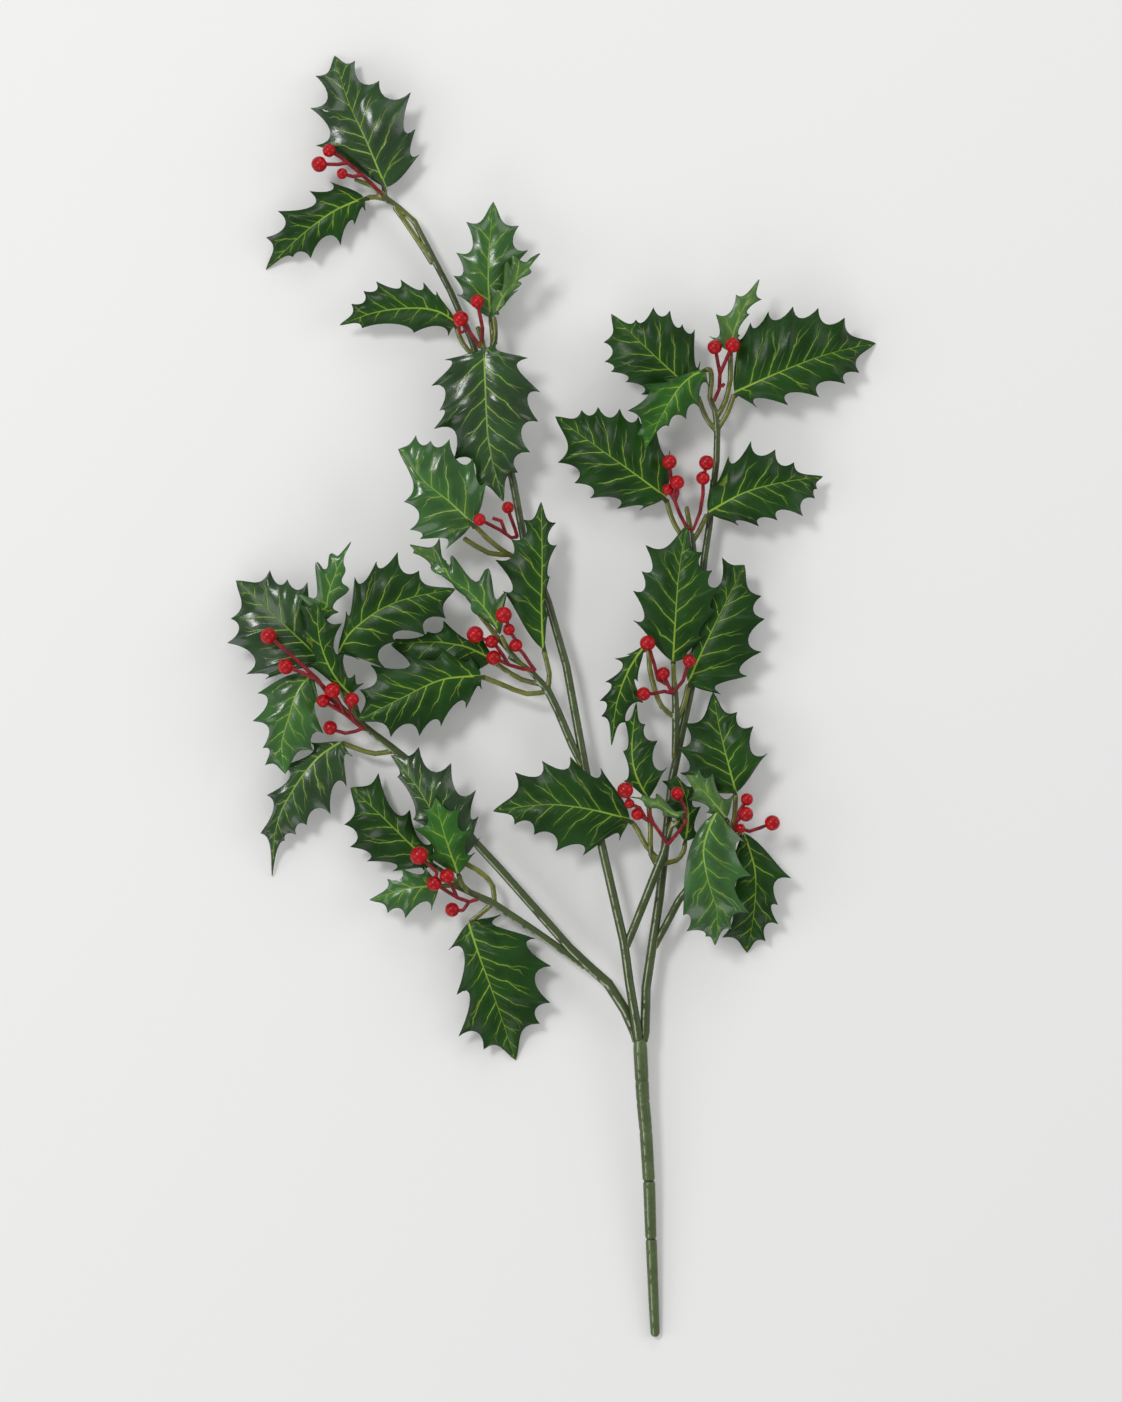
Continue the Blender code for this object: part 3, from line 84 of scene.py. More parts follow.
# Leaves
ROWS_PER_SCALLOP = 8
HALF_COLUMNS = 10
RIM_EDGE = 0.82 * MM  # the solid blade's wall has an edge shorter than this, its two faces have none
HALF_WALL = 0.35 * MM  # from the solid's upper face to the middle of its blade
RIB_SAMPLES = 240  # points of the midrib that a vein may start from
ROOT_SAMPLES = 84  # points of the midrib that a spine's row may start from
VEIN_SPACING = 10.5 * MM  # along the midrib
VEIN_SLANT = 0.72  # how far back along the midrib a vein starts, as a share of its reach
VEIN_SPREAD = 0.85  # how much the veins fan out with their reach
VEIN_GAP = 0.62  # distance between two side veins across them, as a share of that along the midrib
WAVES_PER_METRE = 38
LEAST_WIDTH = 0.02 * MM
LOWEST_BLADE = 0.35 * MM  # above the surface that the spray lies on
COLLAR_BASE = 1.45 * MM
COLLAR_END = 0.50 * MM
COLLAR_SIDES = 14
COLLAR_REACH = 0.10  # as a share of the midrib
STEM_NEAR = 1.9 * MM  # how far from a leaf's base its stalk is looked for
BLADE_SMOOTH = math.radians(50)
NEAR_BLACK = (0.007, 0.013, 0.010)
PALE_VEIN = (0.30, 0.44, 0.10)

# Stems and berries
SEAM_HIGHLIGHT_PLACE = 0.82  # where the pale mould line, which is also a painted highlight, runs on the stems' side value
TRUNK_VOXEL = 0.62  # the trunk's facets and skin, as shares of a branch's
TRUNK_SWELL = 0.25
RING_STEP = 0.4 * MM  # length of the slices that the trunk's grooves are measured in
RING_REACH = 12  # slices to each side that give the usual thickness
RING_LOW_END = 6  # slices at each end that have no groove
RING_HIGH_END = 20
KNOB = 0.4  # size of a stalk's end inside its berry, as a share of the berry
BERRY_FACE = 1.1 * MM  # a berry's faces have no shorter side, and are near equilateral
BERRY_EVEN = 0.72
BERRY_SKIN = 1.01  # the round berry's radius, as a share of the faceted solid's

# Stage
KEY_PLACE = (-1.20, 1.10, 2.50)
KEY_SIZE = 0.70
KEY_WATTS = 27.5
FILL_PLACES = {"left": (-2.4, -0.4), "back": (0.3, 2.4), "right": (2.4, 0.5), "front": (-0.4, -2.4)}
FILL_HEIGHT = 1.35
FILL_SIZE = 1.7
FILL_WATTS = 13.1
WORLD_STRENGTH = 0.40
WHITE = (1.0, 1.0, 1.0)
CAMERA_HEIGHT = 2.6
CAMERA_SHIFT = (0.0047, -0.0027)  # from the middle of the spray
FRAME_MARGIN = 1.0864  # height of the view, as a share of the spray's length
SENSOR = 36.0


# ---------------------------------------------------------------- settings


class HollySizes(bpy.types.PropertyGroup):
    blade_thickness: bpy.props.FloatProperty(
        name="Blade thickness", description="Thickness of a leaf", default=0.5 * MM, unit="LENGTH")
    rib_height: bpy.props.FloatProperty(
        name="Midrib height", description="How far the midrib stands out at the base", default=0.42 * MM,
        unit="LENGTH")
    quilt_height: bpy.props.FloatProperty(
        name="Quilting", description="How far the blade puffs up between two side veins", default=0.55 * MM,
        unit="LENGTH")
    arch: bpy.props.FloatProperty(
        name="Arch", description="Rise of each half blade, as a share of its width", default=0.07,
        subtype="FACTOR")
    wave_height: bpy.props.FloatProperty(
        name="Waves", description="Height of the slow waves of a blade", default=0.8 * MM, unit="LENGTH")
    stem_voxel: bpy.props.FloatProperty(
        name="Stem detail", description="Size of the facets of a stem", default=0.45 * MM, unit="LENGTH")
    stem_swell: bpy.props.FloatProperty(
        name="Stem skin", description="Thickness put back on a stem after smoothing", default=0.42 * MM,
        unit="LENGTH")
    stalk_swell: bpy.props.FloatProperty(
        name="Stalk skin", description="Thickness put back on a stalk after smoothing", default=0.26 * MM,
        unit="LENGTH")
    stalk_voxel: bpy.props.FloatProperty(
        name="Stalk detail", description="Size of the facets of a berry stalk", default=0.28 * MM,
        unit="LENGTH")


class HollyColours(bpy.types.PropertyGroup):
    leaf: bpy.props.FloatVectorProperty(
        name="Leaf", description="Dark green of the upper side of a leaf", default=(0.0125, 0.052, 0.0070),
        size=3, min=0.0, max=1.0, subtype="COLOR")
    vein: bpy.props.FloatVectorProperty(
        name="Vein", description="Yellow-green of the veins", default=(0.30, 0.46, 0.050),
        size=3, min=0.0, max=1.0, subtype="COLOR")
    pale: bpy.props.FloatVectorProperty(
        name="Pale leaf", description="Green of the small leaves that show their paler face",
        default=(0.048, 0.120, 0.026), size=3, min=0.0, max=1.0, subtype="COLOR")
    underside: bpy.props.FloatVectorProperty(
        name="Underside", description="Paler green of the back of a leaf", default=(0.075, 0.175, 0.060),
        size=3, min=0.0, max=1.0, subtype="COLOR")
    berry: bpy.props.FloatVectorProperty(
        name="Berry", description="Red of the berries", default=(0.40, 0.001, 0.005),
        size=3, min=0.0, max=1.0, subtype="COLOR")
    stalk: bpy.props.FloatVectorProperty(
        name="Stalk", description="Dark red of the berry stalks", default=(0.19, 0.008, 0.014),
        size=3, min=0.0, max=1.0, subtype="COLOR")
    trunk: bpy.props.FloatVectorProperty(
        name="Trunk", description="Green of the trunk", default=(0.077, 0.113, 0.037),
        size=3, min=0.0, max=1.0, subtype="COLOR")
    branch: bpy.props.FloatVectorProperty(
        name="Branch", description="Brown-green of the branches", default=(0.054, 0.078, 0.023),
        size=3, min=0.0, max=1.0, subtype="COLOR")
    petiole: bpy.props.FloatVectorProperty(
        name="Petiole", description="Olive of the thin leaf stalks", default=(0.165, 0.180, 0.022),
        size=3, min=0.0, max=1.0, subtype="COLOR")


# ---------------------------------------------------------------- material helpers


class Shader:
    """A material with one Principled shader, and short ways to add the nodes that feed it."""

    def __init__(self, name):
        self.material = bpy.data.materials.new(name)
        self.material.use_nodes = True
        self.tree = self.material.node_tree
        self.surface = self.tree.nodes["Principled BSDF"]
        self.place = self.tree.nodes.new("ShaderNodeTexCoord").outputs["Object"]

    def feed(self, socket, value):
        """Links the socket where the value comes from another node, and sets it where it is a number."""
        if isinstance(value, bpy.types.NodeSocket):
            self.tree.links.new(value, socket)
        elif isinstance(value, (tuple, list)) and len(value) == 3 and socket.type == "RGBA":
            socket.default_value = (*value, 1.0)
        else:
            socket.default_value = value

    def math(self, operation, first, second=0.0, clamp=False):
        node = self.tree.nodes.new("ShaderNodeMath")
        node.operation = operation
        node.use_clamp = clamp
        self.feed(node.inputs[0], first)
        self.feed(node.inputs[1], second)
        return node.outputs[0]

    def smooth(self, value, start, end, low=0.0, high=1.0):
        """Low at start, high at end, with a soft step between them."""
        node = self.tree.nodes.new("ShaderNodeMapRange")
        node.interpolation_type = "SMOOTHSTEP"
        for socket, setting in zip(node.inputs[:5], (value, start, end, low, high)):
            self.feed(socket, setting)
        return node.outputs[0]

    def line(self, value, start, end, low=0.0, high=1.0):
        """Low at start, high at end, and even between them."""
        node = self.tree.nodes.new("ShaderNodeMapRange")
        for socket, setting in zip(node.inputs[:5], (value, start, end, low, high)):
            self.feed(socket, setting)
        return node.outputs[0]

    def grain(self, per_metre, detail=2.0):
        """Noise with that many lumps to the metre."""
        node = self.tree.nodes.new("ShaderNodeTexNoise")
        node.inputs["Scale"].default_value = per_metre
        node.inputs["Detail"].default_value = detail
        self.feed(node.inputs["Vector"], self.place)
        return node.outputs["Fac"]

    def mix(self, share, first, second):
        """The first colour at 0 and the second at 1."""
        node = self.tree.nodes.new("ShaderNodeMix")
        node.data_type = "RGBA"
        self.feed(node.inputs[0], share)
        self.feed(node.inputs[6], first)
        self.feed(node.inputs[7], second)
        return node.outputs[2]

    def uv(self, name):
        """The two numbers that a map of the piece holds."""
        node = self.tree.nodes.new("ShaderNodeUVMap")
        node.uv_map = name
        parts = self.tree.nodes.new("ShaderNodeSeparateXYZ")
        self.feed(parts.inputs[0], node.outputs[0])
        return parts.outputs[0], parts.outputs[1]

    def chance(self, number):
        """A number from 0 to 1 that is the same wherever the given one is."""
        node = self.tree.nodes.new("ShaderNodeTexWhiteNoise")
        node.noise_dimensions = "1D"
        self.feed(node.inputs["W"], number)
        return node.outputs["Value"]

    def point_value(self, name):
        """A number that is stored on the piece's points."""
        node = self.tree.nodes.new("ShaderNodeAttribute")
        node.attribute_name = name
        return node.outputs["Fac"]

    def bump(self, height, strength, distance):
        """Relief that is too fine for the mesh."""
        node = self.tree.nodes.new("ShaderNodeBump")
        node.inputs["Strength"].default_value = strength
        node.inputs["Distance"].default_value = distance
        self.feed(node.inputs["Height"], height)
        self.feed(self.surface.inputs["Normal"], node.outputs[0])

    def set(self, specular=None, **values):
        for name, value in values.items():
            self.feed(self.surface.inputs[name.replace("_", " ").title()], value)
        if specular is not None:
            self.surface.inputs["Specular IOR Level"].default_value = specular


def tone(colour, factor):
    """The colour made lighter or darker."""
    return tuple(min(1.0, part * factor) for part in colour)


# ---------------------------------------------------------------- materials


def vein_masks(shader):
    """How much of the midrib and of a side vein there is at a place, and how near the edge is in mm."""
    order, across = shader.uv("veins")
    gap, width = shader.uv("spans")
    along, seed = shader.uv("place")
    away = shader.smooth(across, 0.02, 0.45)
    drift = shader.math("MULTIPLY", shader.math("SUBTRACT", shader.grain(90.0, 1.0), 0.5), 0.62)
    wiggle = shader.math("MULTIPLY", shader.math("SUBTRACT", shader.grain(300.0, 2.0), 0.5), 0.16)
    order = shader.math("ADD", order, shader.math("MULTIPLY", shader.math("ADD", drift, wiggle), away))
    rib_distance = shader.math("MULTIPLY", across, width)
    rib_half = shader.line(along, 0.0, 1.0, 0.56, 0.10)
    rib = shader.smooth(
        rib_distance, shader.math("ADD", rib_half, 0.26), shader.math("SUBTRACT", rib_half, 0.10))

    number = shader.math("FLOOR", shader.math("ADD", order, 0.5))
    luck = shader.chance(shader.math("ADD", number, shader.math("MULTIPLY", seed, 13.7)))
    other_luck = shader.chance(shader.math("ADD", number, shader.math("MULTIPLY", seed, 29.3)))
    offset = shader.math("SUBTRACT", order, number)
    vein_distance = shader.math("MULTIPLY", shader.math("ABSOLUTE", offset), gap)
    reach = shader.line(luck, 0.0, 1.0, 0.50, 0.98)
    left = shader.math("SUBTRACT", 1.0, shader.math("DIVIDE", across, reach), clamp=True)
    half = shader.line(left, 0.0, 1.0, 0.04, 0.26)
    vein = shader.smooth(vein_distance, shader.math("ADD", half, 0.20), shader.math("SUBTRACT", half, 0.12))
    vein = shader.math("MULTIPLY", vein, shader.smooth(left, 0.0, 0.35))
    vein = shader.math("MULTIPLY", vein, shader.line(other_luck, 0.0, 1.0, 0.62, 1.0))
    vein = shader.math("MULTIPLY", vein, shader.smooth(number, -0.6, 0.4))

    # Most side veins part in two some way out, towards the tip or towards the base.
    started = shader.math("SUBTRACT", across, shader.line(other_luck, 0.0, 1.0, 0.18, 0.52))
    turn = shader.line(shader.math("FRACT", shader.math("MULTIPLY", luck, 7.0)), 0.25, 0.75, -0.85, 0.85)
    forked = shader.math("SUBTRACT", offset, shader.math("MULTIPLY", started, turn))
    fork_distance = shader.math("MULTIPLY", shader.math("ABSOLUTE", forked), gap)
    fork = shader.smooth(fork_distance, 0.34, 0.08)
    fork = shader.math("MULTIPLY", fork, shader.smooth(started, 0.0, 0.03))
    fork = shader.math("MULTIPLY", fork, shader.smooth(across, 0.90, 0.62))

    # Between two side veins a short one starts from the midrib.
    between = shader.math("SUBTRACT", shader.math("ABSOLUTE", offset), 0.5)
    between = shader.math("MULTIPLY", shader.math("ABSOLUTE", between), gap)
    short = shader.smooth(between, 0.32, 0.06)
    short = shader.math("MULTIPLY", short, shader.smooth(across, 0.42, 0.12))
    short = shader.math("MULTIPLY", short, shader.smooth(shader.grain(70.0, 2.0), 0.44, 0.58))

    fine = shader.math("MAXIMUM", shader.math("MULTIPLY", fork, 0.85), shader.math("MULTIPLY", short, 0.7))
    edge_distance = shader.math("MULTIPLY", shader.math("SUBTRACT", 1.0, across), width)
    halo = shader.smooth(vein_distance, 2.4, 0.2)
    halo = shader.math("MULTIPLY", halo, shader.smooth(across, 0.85, 0.15))
    middle = shader.smooth(rib_distance, 5.5, 0.5)
    return {"rib": rib, "vein": vein, "fine": fine, "edge": edge_distance, "halo": halo, "middle": middle,
            "along": along}


def leaf_top(name, base, vein_colour, shine):
    """The upper side: dark green with yellow-green veins, a near-black edge, and soft gloss."""
    shader = Shader(name)
    masks = vein_masks(shader)
    cloud = shader.smooth(shader.grain(45.0, 3.0), 0.35, 0.68)
    colour = shader.mix(cloud, tone(base, 0.72), tone(base, 1.30))
    speck = shader.smooth(shader.grain(900.0, 2.0), 0.55, 0.75)
    colour = shader.mix(shader.math("MULTIPLY", speck, 0.20), colour, tone(base, 1.9))
    colour = shader.mix(shader.math("MULTIPLY", masks["middle"], 0.45), colour, tone(base, 1.8))
    fresh = (base[0] * 3.4, base[1] * 2.3, base[2] * 1.3)
    colour = shader.mix(shader.math("MULTIPLY", masks["halo"], 0.34), colour, fresh)
    fine = shader.math("MULTIPLY", masks["fine"], 0.60)
    colour = shader.mix(fine, colour, tone(vein_colour, 0.62))
    broken = shader.smooth(shader.grain(380.0, 2.0), 0.25, 0.55, 0.55, 1.0)
    vein = shader.math("MULTIPLY", shader.math("MULTIPLY", masks["vein"], broken), 0.95)
    colour = shader.mix(vein, colour, tone(vein_colour, 0.88))
    rib = shader.math("MULTIPLY", masks["rib"], 0.97)
    rib_colour = shader.mix(masks["along"], tone(vein_colour, 0.92), tone(vein_colour, 0.66))
    colour = shader.mix(rib, colour, rib_colour)
    edge = shader.smooth(masks["edge"], 0.60, 0.15)
    colour = shader.mix(shader.math("MULTIPLY", edge, 0.9), colour, NEAR_BLACK)
    scuff = shader.grain(240.0, 4.0)
    roughness = shader.line(scuff, 0.3, 0.7, 0.26 - 0.06 * shine, 0.38 - 0.11 * shine)
    shader.set(base_color=colour, roughness=roughness, metallic=0.0, specular=0.18 + 0.42 * shine)
    relief = shader.math("MAXIMUM", masks["vein"], shader.math("MULTIPLY", masks["fine"], 0.6))
    ripple = shader.math("MULTIPLY", shader.grain(60.0, 0.0), 1.5 + 6.5 * shine)
    ripple = shader.math("ADD", ripple, shader.math("MULTIPLY", shader.grain(420.0, 3.0), 0.42))
    shader.bump(shader.math("SUBTRACT", ripple, relief), 0.7, 0.30 * MM)
    return shader.material


def leaf_back(name, colours, brightness):
    """The underside: paler and duller, with raised veins of nearly its own colour."""
    shader = Shader(name)
    masks = vein_masks(shader)
    base = tone(colours.underside, brightness)
    cloud = shader.smooth(shader.grain(60.0, 3.0), 0.35, 0.68)
    colour = shader.mix(cloud, tone(base, 0.80), tone(base, 1.2))
    vein = shader.math("MAXIMUM", masks["vein"], masks["rib"])
    vein = shader.math("MAXIMUM", vein, shader.math("MULTIPLY", masks["fine"], 0.5))
    colour = shader.mix(shader.math("MULTIPLY", vein, 0.75), colour, (0.36, 0.48, 0.18))
    edge = shader.smooth(masks["edge"], 0.5, 0.15)
    colour = shader.mix(shader.math("MULTIPLY", edge, 0.7), colour, (0.012, 0.03, 0.016))
    shader.set(base_color=colour, roughness=shader.line(shader.grain(300.0), 0.3, 0.7, 0.40, 0.55))
    shader.bump(shader.math("ADD", vein, shader.math("MULTIPLY", shader.grain(600.0), 0.2)), 0.5, 0.3 * MM)
    return shader.material


def stem_material(name, colours, thick):
    """Satin plastic: green where it is thick, olive where it is thin, with painted shade in its grooves and
    on its sides, a pale mould line that is also a painted highlight, and small pale painted glints on the
    side facing the key light."""
    shader = Shader(name)
    girth = shader.point_value("girth")
    facing = shader.point_value("side")
    cloud = shader.smooth(shader.grain(60.0, 3.0), 0.3, 0.7)
    fibre = shader.smooth(shader.grain(420.0, 3.0), 0.38, 0.66)
    stout = shader.mix(cloud, tone(thick, 0.82), tone(thick, 1.20))
    slim = shader.mix(cloud, tone(colours.petiole, 0.62), tone(colours.petiole, 1.15))
    colour = shader.mix(shader.smooth(girth, 1.32, 1.75), slim, stout)
    colour = shader.mix(shader.math("MULTIPLY", fibre, 0.30), colour, tone(thick, 0.45))
    # Painted shade: a stem is darker on its sides, where it turns away from facing up.
    painted_side_shade = shader.smooth(shader.point_value("painted_side_shade"), 0.45, 1.0)
    colour = shader.mix(shader.math("MULTIPLY", painted_side_shade, 0.60), colour, tone(thick, 0.34))
    # Mould line and painted highlight: a broken pale line along the side that faces the key light.
    seam_highlight = shader.math("ABSOLUTE", shader.math("SUBTRACT", facing, SEAM_HIGHLIGHT_PLACE))
    seam_highlight = shader.smooth(seam_highlight, 0.060, 0.020)
    seam_highlight = shader.math("MULTIPLY", seam_highlight, shader.smooth(shader.grain(240.0, 3.0), 0.36, 0.50))
    colour = shader.mix(shader.math("MULTIPLY", seam_highlight, 0.80), colour, (0.42, 0.48, 0.33))
    # Painted glints: small pale specks only on the side that faces the key light.
    glint_specks = shader.smooth(shader.grain(900.0, 4.0), 0.62, 0.70)
    glint_specks = shader.math("MULTIPLY", glint_specks, shader.smooth(facing, 0.60, 0.95))
    colour = shader.mix(shader.math("MULTIPLY", glint_specks, 0.45), colour, (0.32, 0.40, 0.24))
    # Painted shade: the trunk's grooves are coloured near black.
    painted_groove_shade = shader.smooth(shader.point_value("painted_groove_shade"), 0.12, 0.45)
    colour = shader.mix(shader.math("MULTIPLY", painted_groove_shade, 0.85), colour, (0.010, 0.014, 0.007))
    shader.set(base_color=colour, roughness=shader.line(fibre, 0.0, 1.0, 0.30, 0.46), specular=0.42)
    relief = shader.math("ADD", shader.math("MULTIPLY", fibre, 0.5), glint_specks)
    shader.bump(relief, 0.5, 0.15 * MM)
    return shader.material


def berry_material(colours):
    """Lacquered red, slightly mottled, darker round the stalk and at the tip."""
    shader = Shader("berry_red")
    cloud = shader.smooth(shader.grain(160.0, 2.0), 0.35, 0.7)
    colour = shader.mix(cloud, tone(colours.berry, 0.82), tone(colours.berry, 1.12))
    pit = shader.point_value("pit")
    colour = shader.mix(shader.math("MULTIPLY", pit, 0.85), colour, (0.035, 0.006, 0.006))
    roughness = shader.line(shader.grain(500.0), 0.3, 0.7, 0.23, 0.29)
    shader.set(base_color=colour, roughness=roughness, specular=0.30)
    shader.bump(shader.grain(300.0, 1.0), 0.04, 0.1 * MM)
    return shader.material


def stalk_material(colours):
    """Dark red stalks that turn olive where they leave the twig."""
    shader = Shader("berry_stalk")
    red = shader.point_value("redness")
    cloud = shader.smooth(shader.grain(260.0, 3.0), 0.35, 0.65)
    stalk = shader.mix(cloud, tone(colours.stalk, 0.65), tone(colours.stalk, 1.35))
    olive = shader.mix(cloud, tone(colours.petiole, 0.45), tone(colours.petiole, 0.85))
    shader.set(base_color=shader.mix(red, olive, stalk), roughness=0.36, specular=0.30)
    shader.bump(shader.grain(800.0, 3.0), 0.35, 0.12 * MM)
    return shader.material


# ---------------------------------------------------------------- mesh helpers


def merged_copy(node):
    """The node's solid with its loose triangles joined up, to be worked on."""
    shape = bmesh.new()
    shape.from_mesh(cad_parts[node].data)
    bmesh.ops.remove_doubles(shape, verts=shape.verts, dist=MERGE)
    return shape


def only(obj):
    """Deselects everything but this piece."""
    bpy.ops.object.select_all(action="DESELECT")
    obj.select_set(True)
    bpy.context.view_layer.objects.active = obj


def apply_modifier(obj, kind, **settings):
    """Gives the piece a modifier and applies it."""
    modifier = obj.modifiers.new(kind.title(), kind)
    for name, value in settings.items():
        setattr(modifier, name, value)
    only(obj)
    bpy.ops.object.modifier_apply(modifier=modifier.name)


def new_piece(name, shape):
    """An object made of the shape, which is used up."""
    mesh = bpy.data.meshes.new(name)
    shape.to_mesh(mesh)
    shape.free()
    obj = bpy.data.objects.new(name, mesh)
    bpy.context.scene.collection.objects.link(obj)
    return obj


def join(into, others):
    """Makes the other pieces part of this one."""
    bpy.ops.object.select_all(action="DESELECT")
    for obj in others:
        obj.select_set(True)
    into.select_set(True)
    bpy.context.view_layer.objects.active = into
    bpy.ops.object.join()


def settle(piece, node):
    """The finished piece stands for its solid and goes with the frame."""
    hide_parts(node)
    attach(piece, "root")


def stem_points():
    """Where the surfaces of all the stems are, for finding what grows from them."""
    points = [vert.co for node in STEM_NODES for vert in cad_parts[node].data.vertices]
    tree = kdtree.KDTree(len(points))
    for i, point in enumerate(points):
        tree.insert(point, i)
    tree.balance()
    return tree


# ---------------------------------------------------------------- leaves


def smooth_at(points, place):
    """The Catmull-Rom curve through the points, at a place from 0 to 1."""
    count = len(points) - 1
    place = min(max(place, 0.0), 1.0) * count
    i = min(int(place), count - 1)
    t = place - i
    a = points[max(i - 1, 0)]
    b = points[i]
    c = points[i + 1]
    d = points[min(i + 2, count)]
    square = 2 * a - 5 * b + 4 * c - d
    cube = 3 * b - a - 3 * c + d
    return 0.5 * (2 * b + (c - a) * t + square * t * t + cube * t ** 3)


def third_point_curve(points, t):
    """The cubic that passes its four points at 0, a third, two thirds and 1."""
    a, b, c, d = points
    return (
        a * ((1 - 3 * t) * (2 - 3 * t) * (1 - t) / 2)
        + b * (9 * t * (2 - 3 * t) * (1 - t) / 2)
        + c * (9 * t * (3 * t - 1) * (1 - t) / 2)
        + d * (t * (3 * t - 1) * (3 * t - 2) / 2)
    )


class Blade:
    """A leaf's midrib and its two edges, read from its solid."""

    def __init__(self, node, stems):
        self.node = node
        shape = merged_copy(node)
        walls = [face for face in shape.faces if min(edge.calc_length() for edge in face.edges) < RIM_EDGE]
        bmesh.ops.delete(shape, geom=walls, context="FACES")
        faces = self.upper_sheet(shape)
        edges = {edge for face in faces for edge in face.edges}
        rim = {edge for edge in edges if sum(other in faces for other in edge.link_faces) == 1}
        rim_verts = {vert for edge in rim for vert in edge.verts}
        inner = {vert for face in faces for vert in face.verts} - rim_verts
        chain = self.chain(inner)
        loop = self.loop(rim)
        base, tip = self.ends(chain, loop, edges, stems)
        if base not in [edge.other_vert(chain[0]) for edge in chain[0].link_edges]:
            chain.reverse()
        down = Vector((0.0, 0.0, -HALF_WALL))
        self.rib = [np.array(vert.co + down) for vert in (base, *chain, tip)]
        start = loop.index(base)
        loop = loop[start:] + loop[:start]
        stop = loop.index(tip)
        sides = [loop[: stop + 1], [loop[0]] + loop[:stop - 1:-1]]
        axis = tip.co - base.co
        middle = base.co + axis / 2
        sides.sort(key=lambda side: -sum(axis.xy.cross((vert.co - middle).xy) for vert in side) / len(side))
        self.edges = [[np.array(vert.co + down) for vert in side] for side in sides]
        shape.free()
        self.length = sum(np.linalg.norm(b - a) for a, b in zip(self.rib, self.rib[1:]))
        self.spines = [len(side) // 3 - 1 for side in self.edges]
        self.knots = [self.row_places(side) for side in (0, 1)]
        self.samples = np.array([smooth_at(self.rib, step / RIB_SAMPLES) for step in range(RIB_SAMPLES + 1)])

    def upper_sheet(self, shape):
        """The faces of the side that looks up."""
        left = set(shape.faces)
        best = set()
        height = -1.0
        while left:
            found = set()
            todo = [next(iter(left))]
            while todo:
                face = todo.pop()
                if face in found:
                    continue
                found.add(face)
                todo += [other for edge in face.edges for other in edge.link_faces if other not in found]
            left -= found
            facing = sum(face.normal.z * face.calc_area() for face in found)
            if facing > height:
                best = found
                height = facing
        return best

    def chain(self, inner):
        """The points of the midrib in order, without its two ends."""
        links = {
            vert: [edge.other_vert(vert) for edge in vert.link_edges if edge.other_vert(vert) in inner]
            for vert in inner
        }
        here = sorted((vert for vert in inner if len(links[vert]) == 1), key=lambda vert: vert.index)[0]
        chain = [here]
        while len(chain) < len(inner):
            here = next(vert for vert in links[here] if vert not in chain)
            chain.append(here)
        return chain

    def loop(self, rim):
        """The points of the edge in order, all the way round."""
        links = {}
        for edge in rim:
            for vert in edge.verts:
                links.setdefault(vert, []).append(edge.other_vert(vert))
        start = min(links, key=lambda vert: vert.index)
        loop = [start]
        while len(loop) < len(links):
            loop.append(next(vert for vert in links[loop[-1]] if vert not in loop))
        return loop

    def ends(self, chain, loop, edges, stems):
        """The two points of the rim that the midrib runs on to, the one nearest a stem first."""
        choices = []
        for end, inner in ((chain[0], chain[1]), (chain[-1], chain[-2])):
            onward = (end.co - inner.co).normalized()
            near = [edge.other_vert(end) for edge in end.link_edges if edge in edges]
            near = [vert for vert in near if vert in loop]
            choices.append([(onward.dot((vert.co - end.co).normalized()), vert) for vert in near])
        best = None
        for first_fit, first in choices[0]:
            for last_fit, last in choices[1]:
                apart = (loop.index(last) - loop.index(first)) % len(loop)
                if first is last or apart % 3 or (len(loop) - apart) % 3:
                    continue
                if best is None or first_fit + last_fit > best[0]:
                    best = (first_fit + last_fit, first, last)
        if best is None:
            raise RuntimeError(f"{self.node}: the ends of the midrib weren't found")
        found = sorted(best[1:], key=lambda vert: stems.find(vert.co)[2])
        return found

    def spine(self, side, number):
        """The tip of a spine, counted from the base."""
        return self.edges[side][3 * number]

    def vein_order(self, point, side):
        """Which side vein runs through a point, as a number that rises from the base to the tip, and
        the distance between two veins along the midrib."""
        gaps = np.linalg.norm((self.samples - point)[:, :2], axis=1)
        nearest = int(gaps.argmin())
        reach = gaps[nearest] / self.length
        start = (nearest / RIB_SAMPLES - VEIN_SLANT * reach) / (1 + VEIN_SPREAD * reach)
        veins = max(3, round(self.length / VEIN_SPACING))
        return start * veins + (0.5 if side else 0.12), self.length / veins

    def row_places(self, side):
        """The share of the midrib that each spine's row starts from, with 0 and 1 at the ends."""
        samples = [smooth_at(self.rib, step / ROOT_SAMPLES) for step in range(ROOT_SAMPLES + 1)]
        knots = [0.0]
        count = self.spines[side]
        for number in range(count):
            spine = self.spine(side, number + 1)
            gaps = [np.linalg.norm((spine - sample)[:2]) for sample in samples]
            nearest = gaps.index(min(gaps))
            root = nearest / ROOT_SAMPLES - 0.55 * gaps[nearest] / self.length
            lowest = knots[-1] + 0.03 if number else 0.02
            knots.append(min(max(root, lowest), 0.97 - 0.02 * (count - number)))
        return knots + [1.0]

    def rows(self):
        """The shares of the midrib that a row of the blade's grid starts from."""
        shares = {1.0}
        for knots in self.knots:
            for a, b in zip(knots, knots[1:]):
                shares |= {a + (b - a) * step / ROWS_PER_SCALLOP for step in range(ROWS_PER_SCALLOP)}
        shares = sorted(shares)
        kept = [shares[0]]
        corners = set(self.knots[0]) | set(self.knots[1])
        for share in shares[1:]:
            if share in corners or share - kept[-1] > 0.0012:
                kept.append(share)
        return kept

    def edge_at(self, side, order):
        """The point of the edge that lies so many scallops from the base."""
        i = min(int(order), self.spines[side])
        return third_point_curve(self.edges[side][3 * i: 3 * i + 4], order - i)


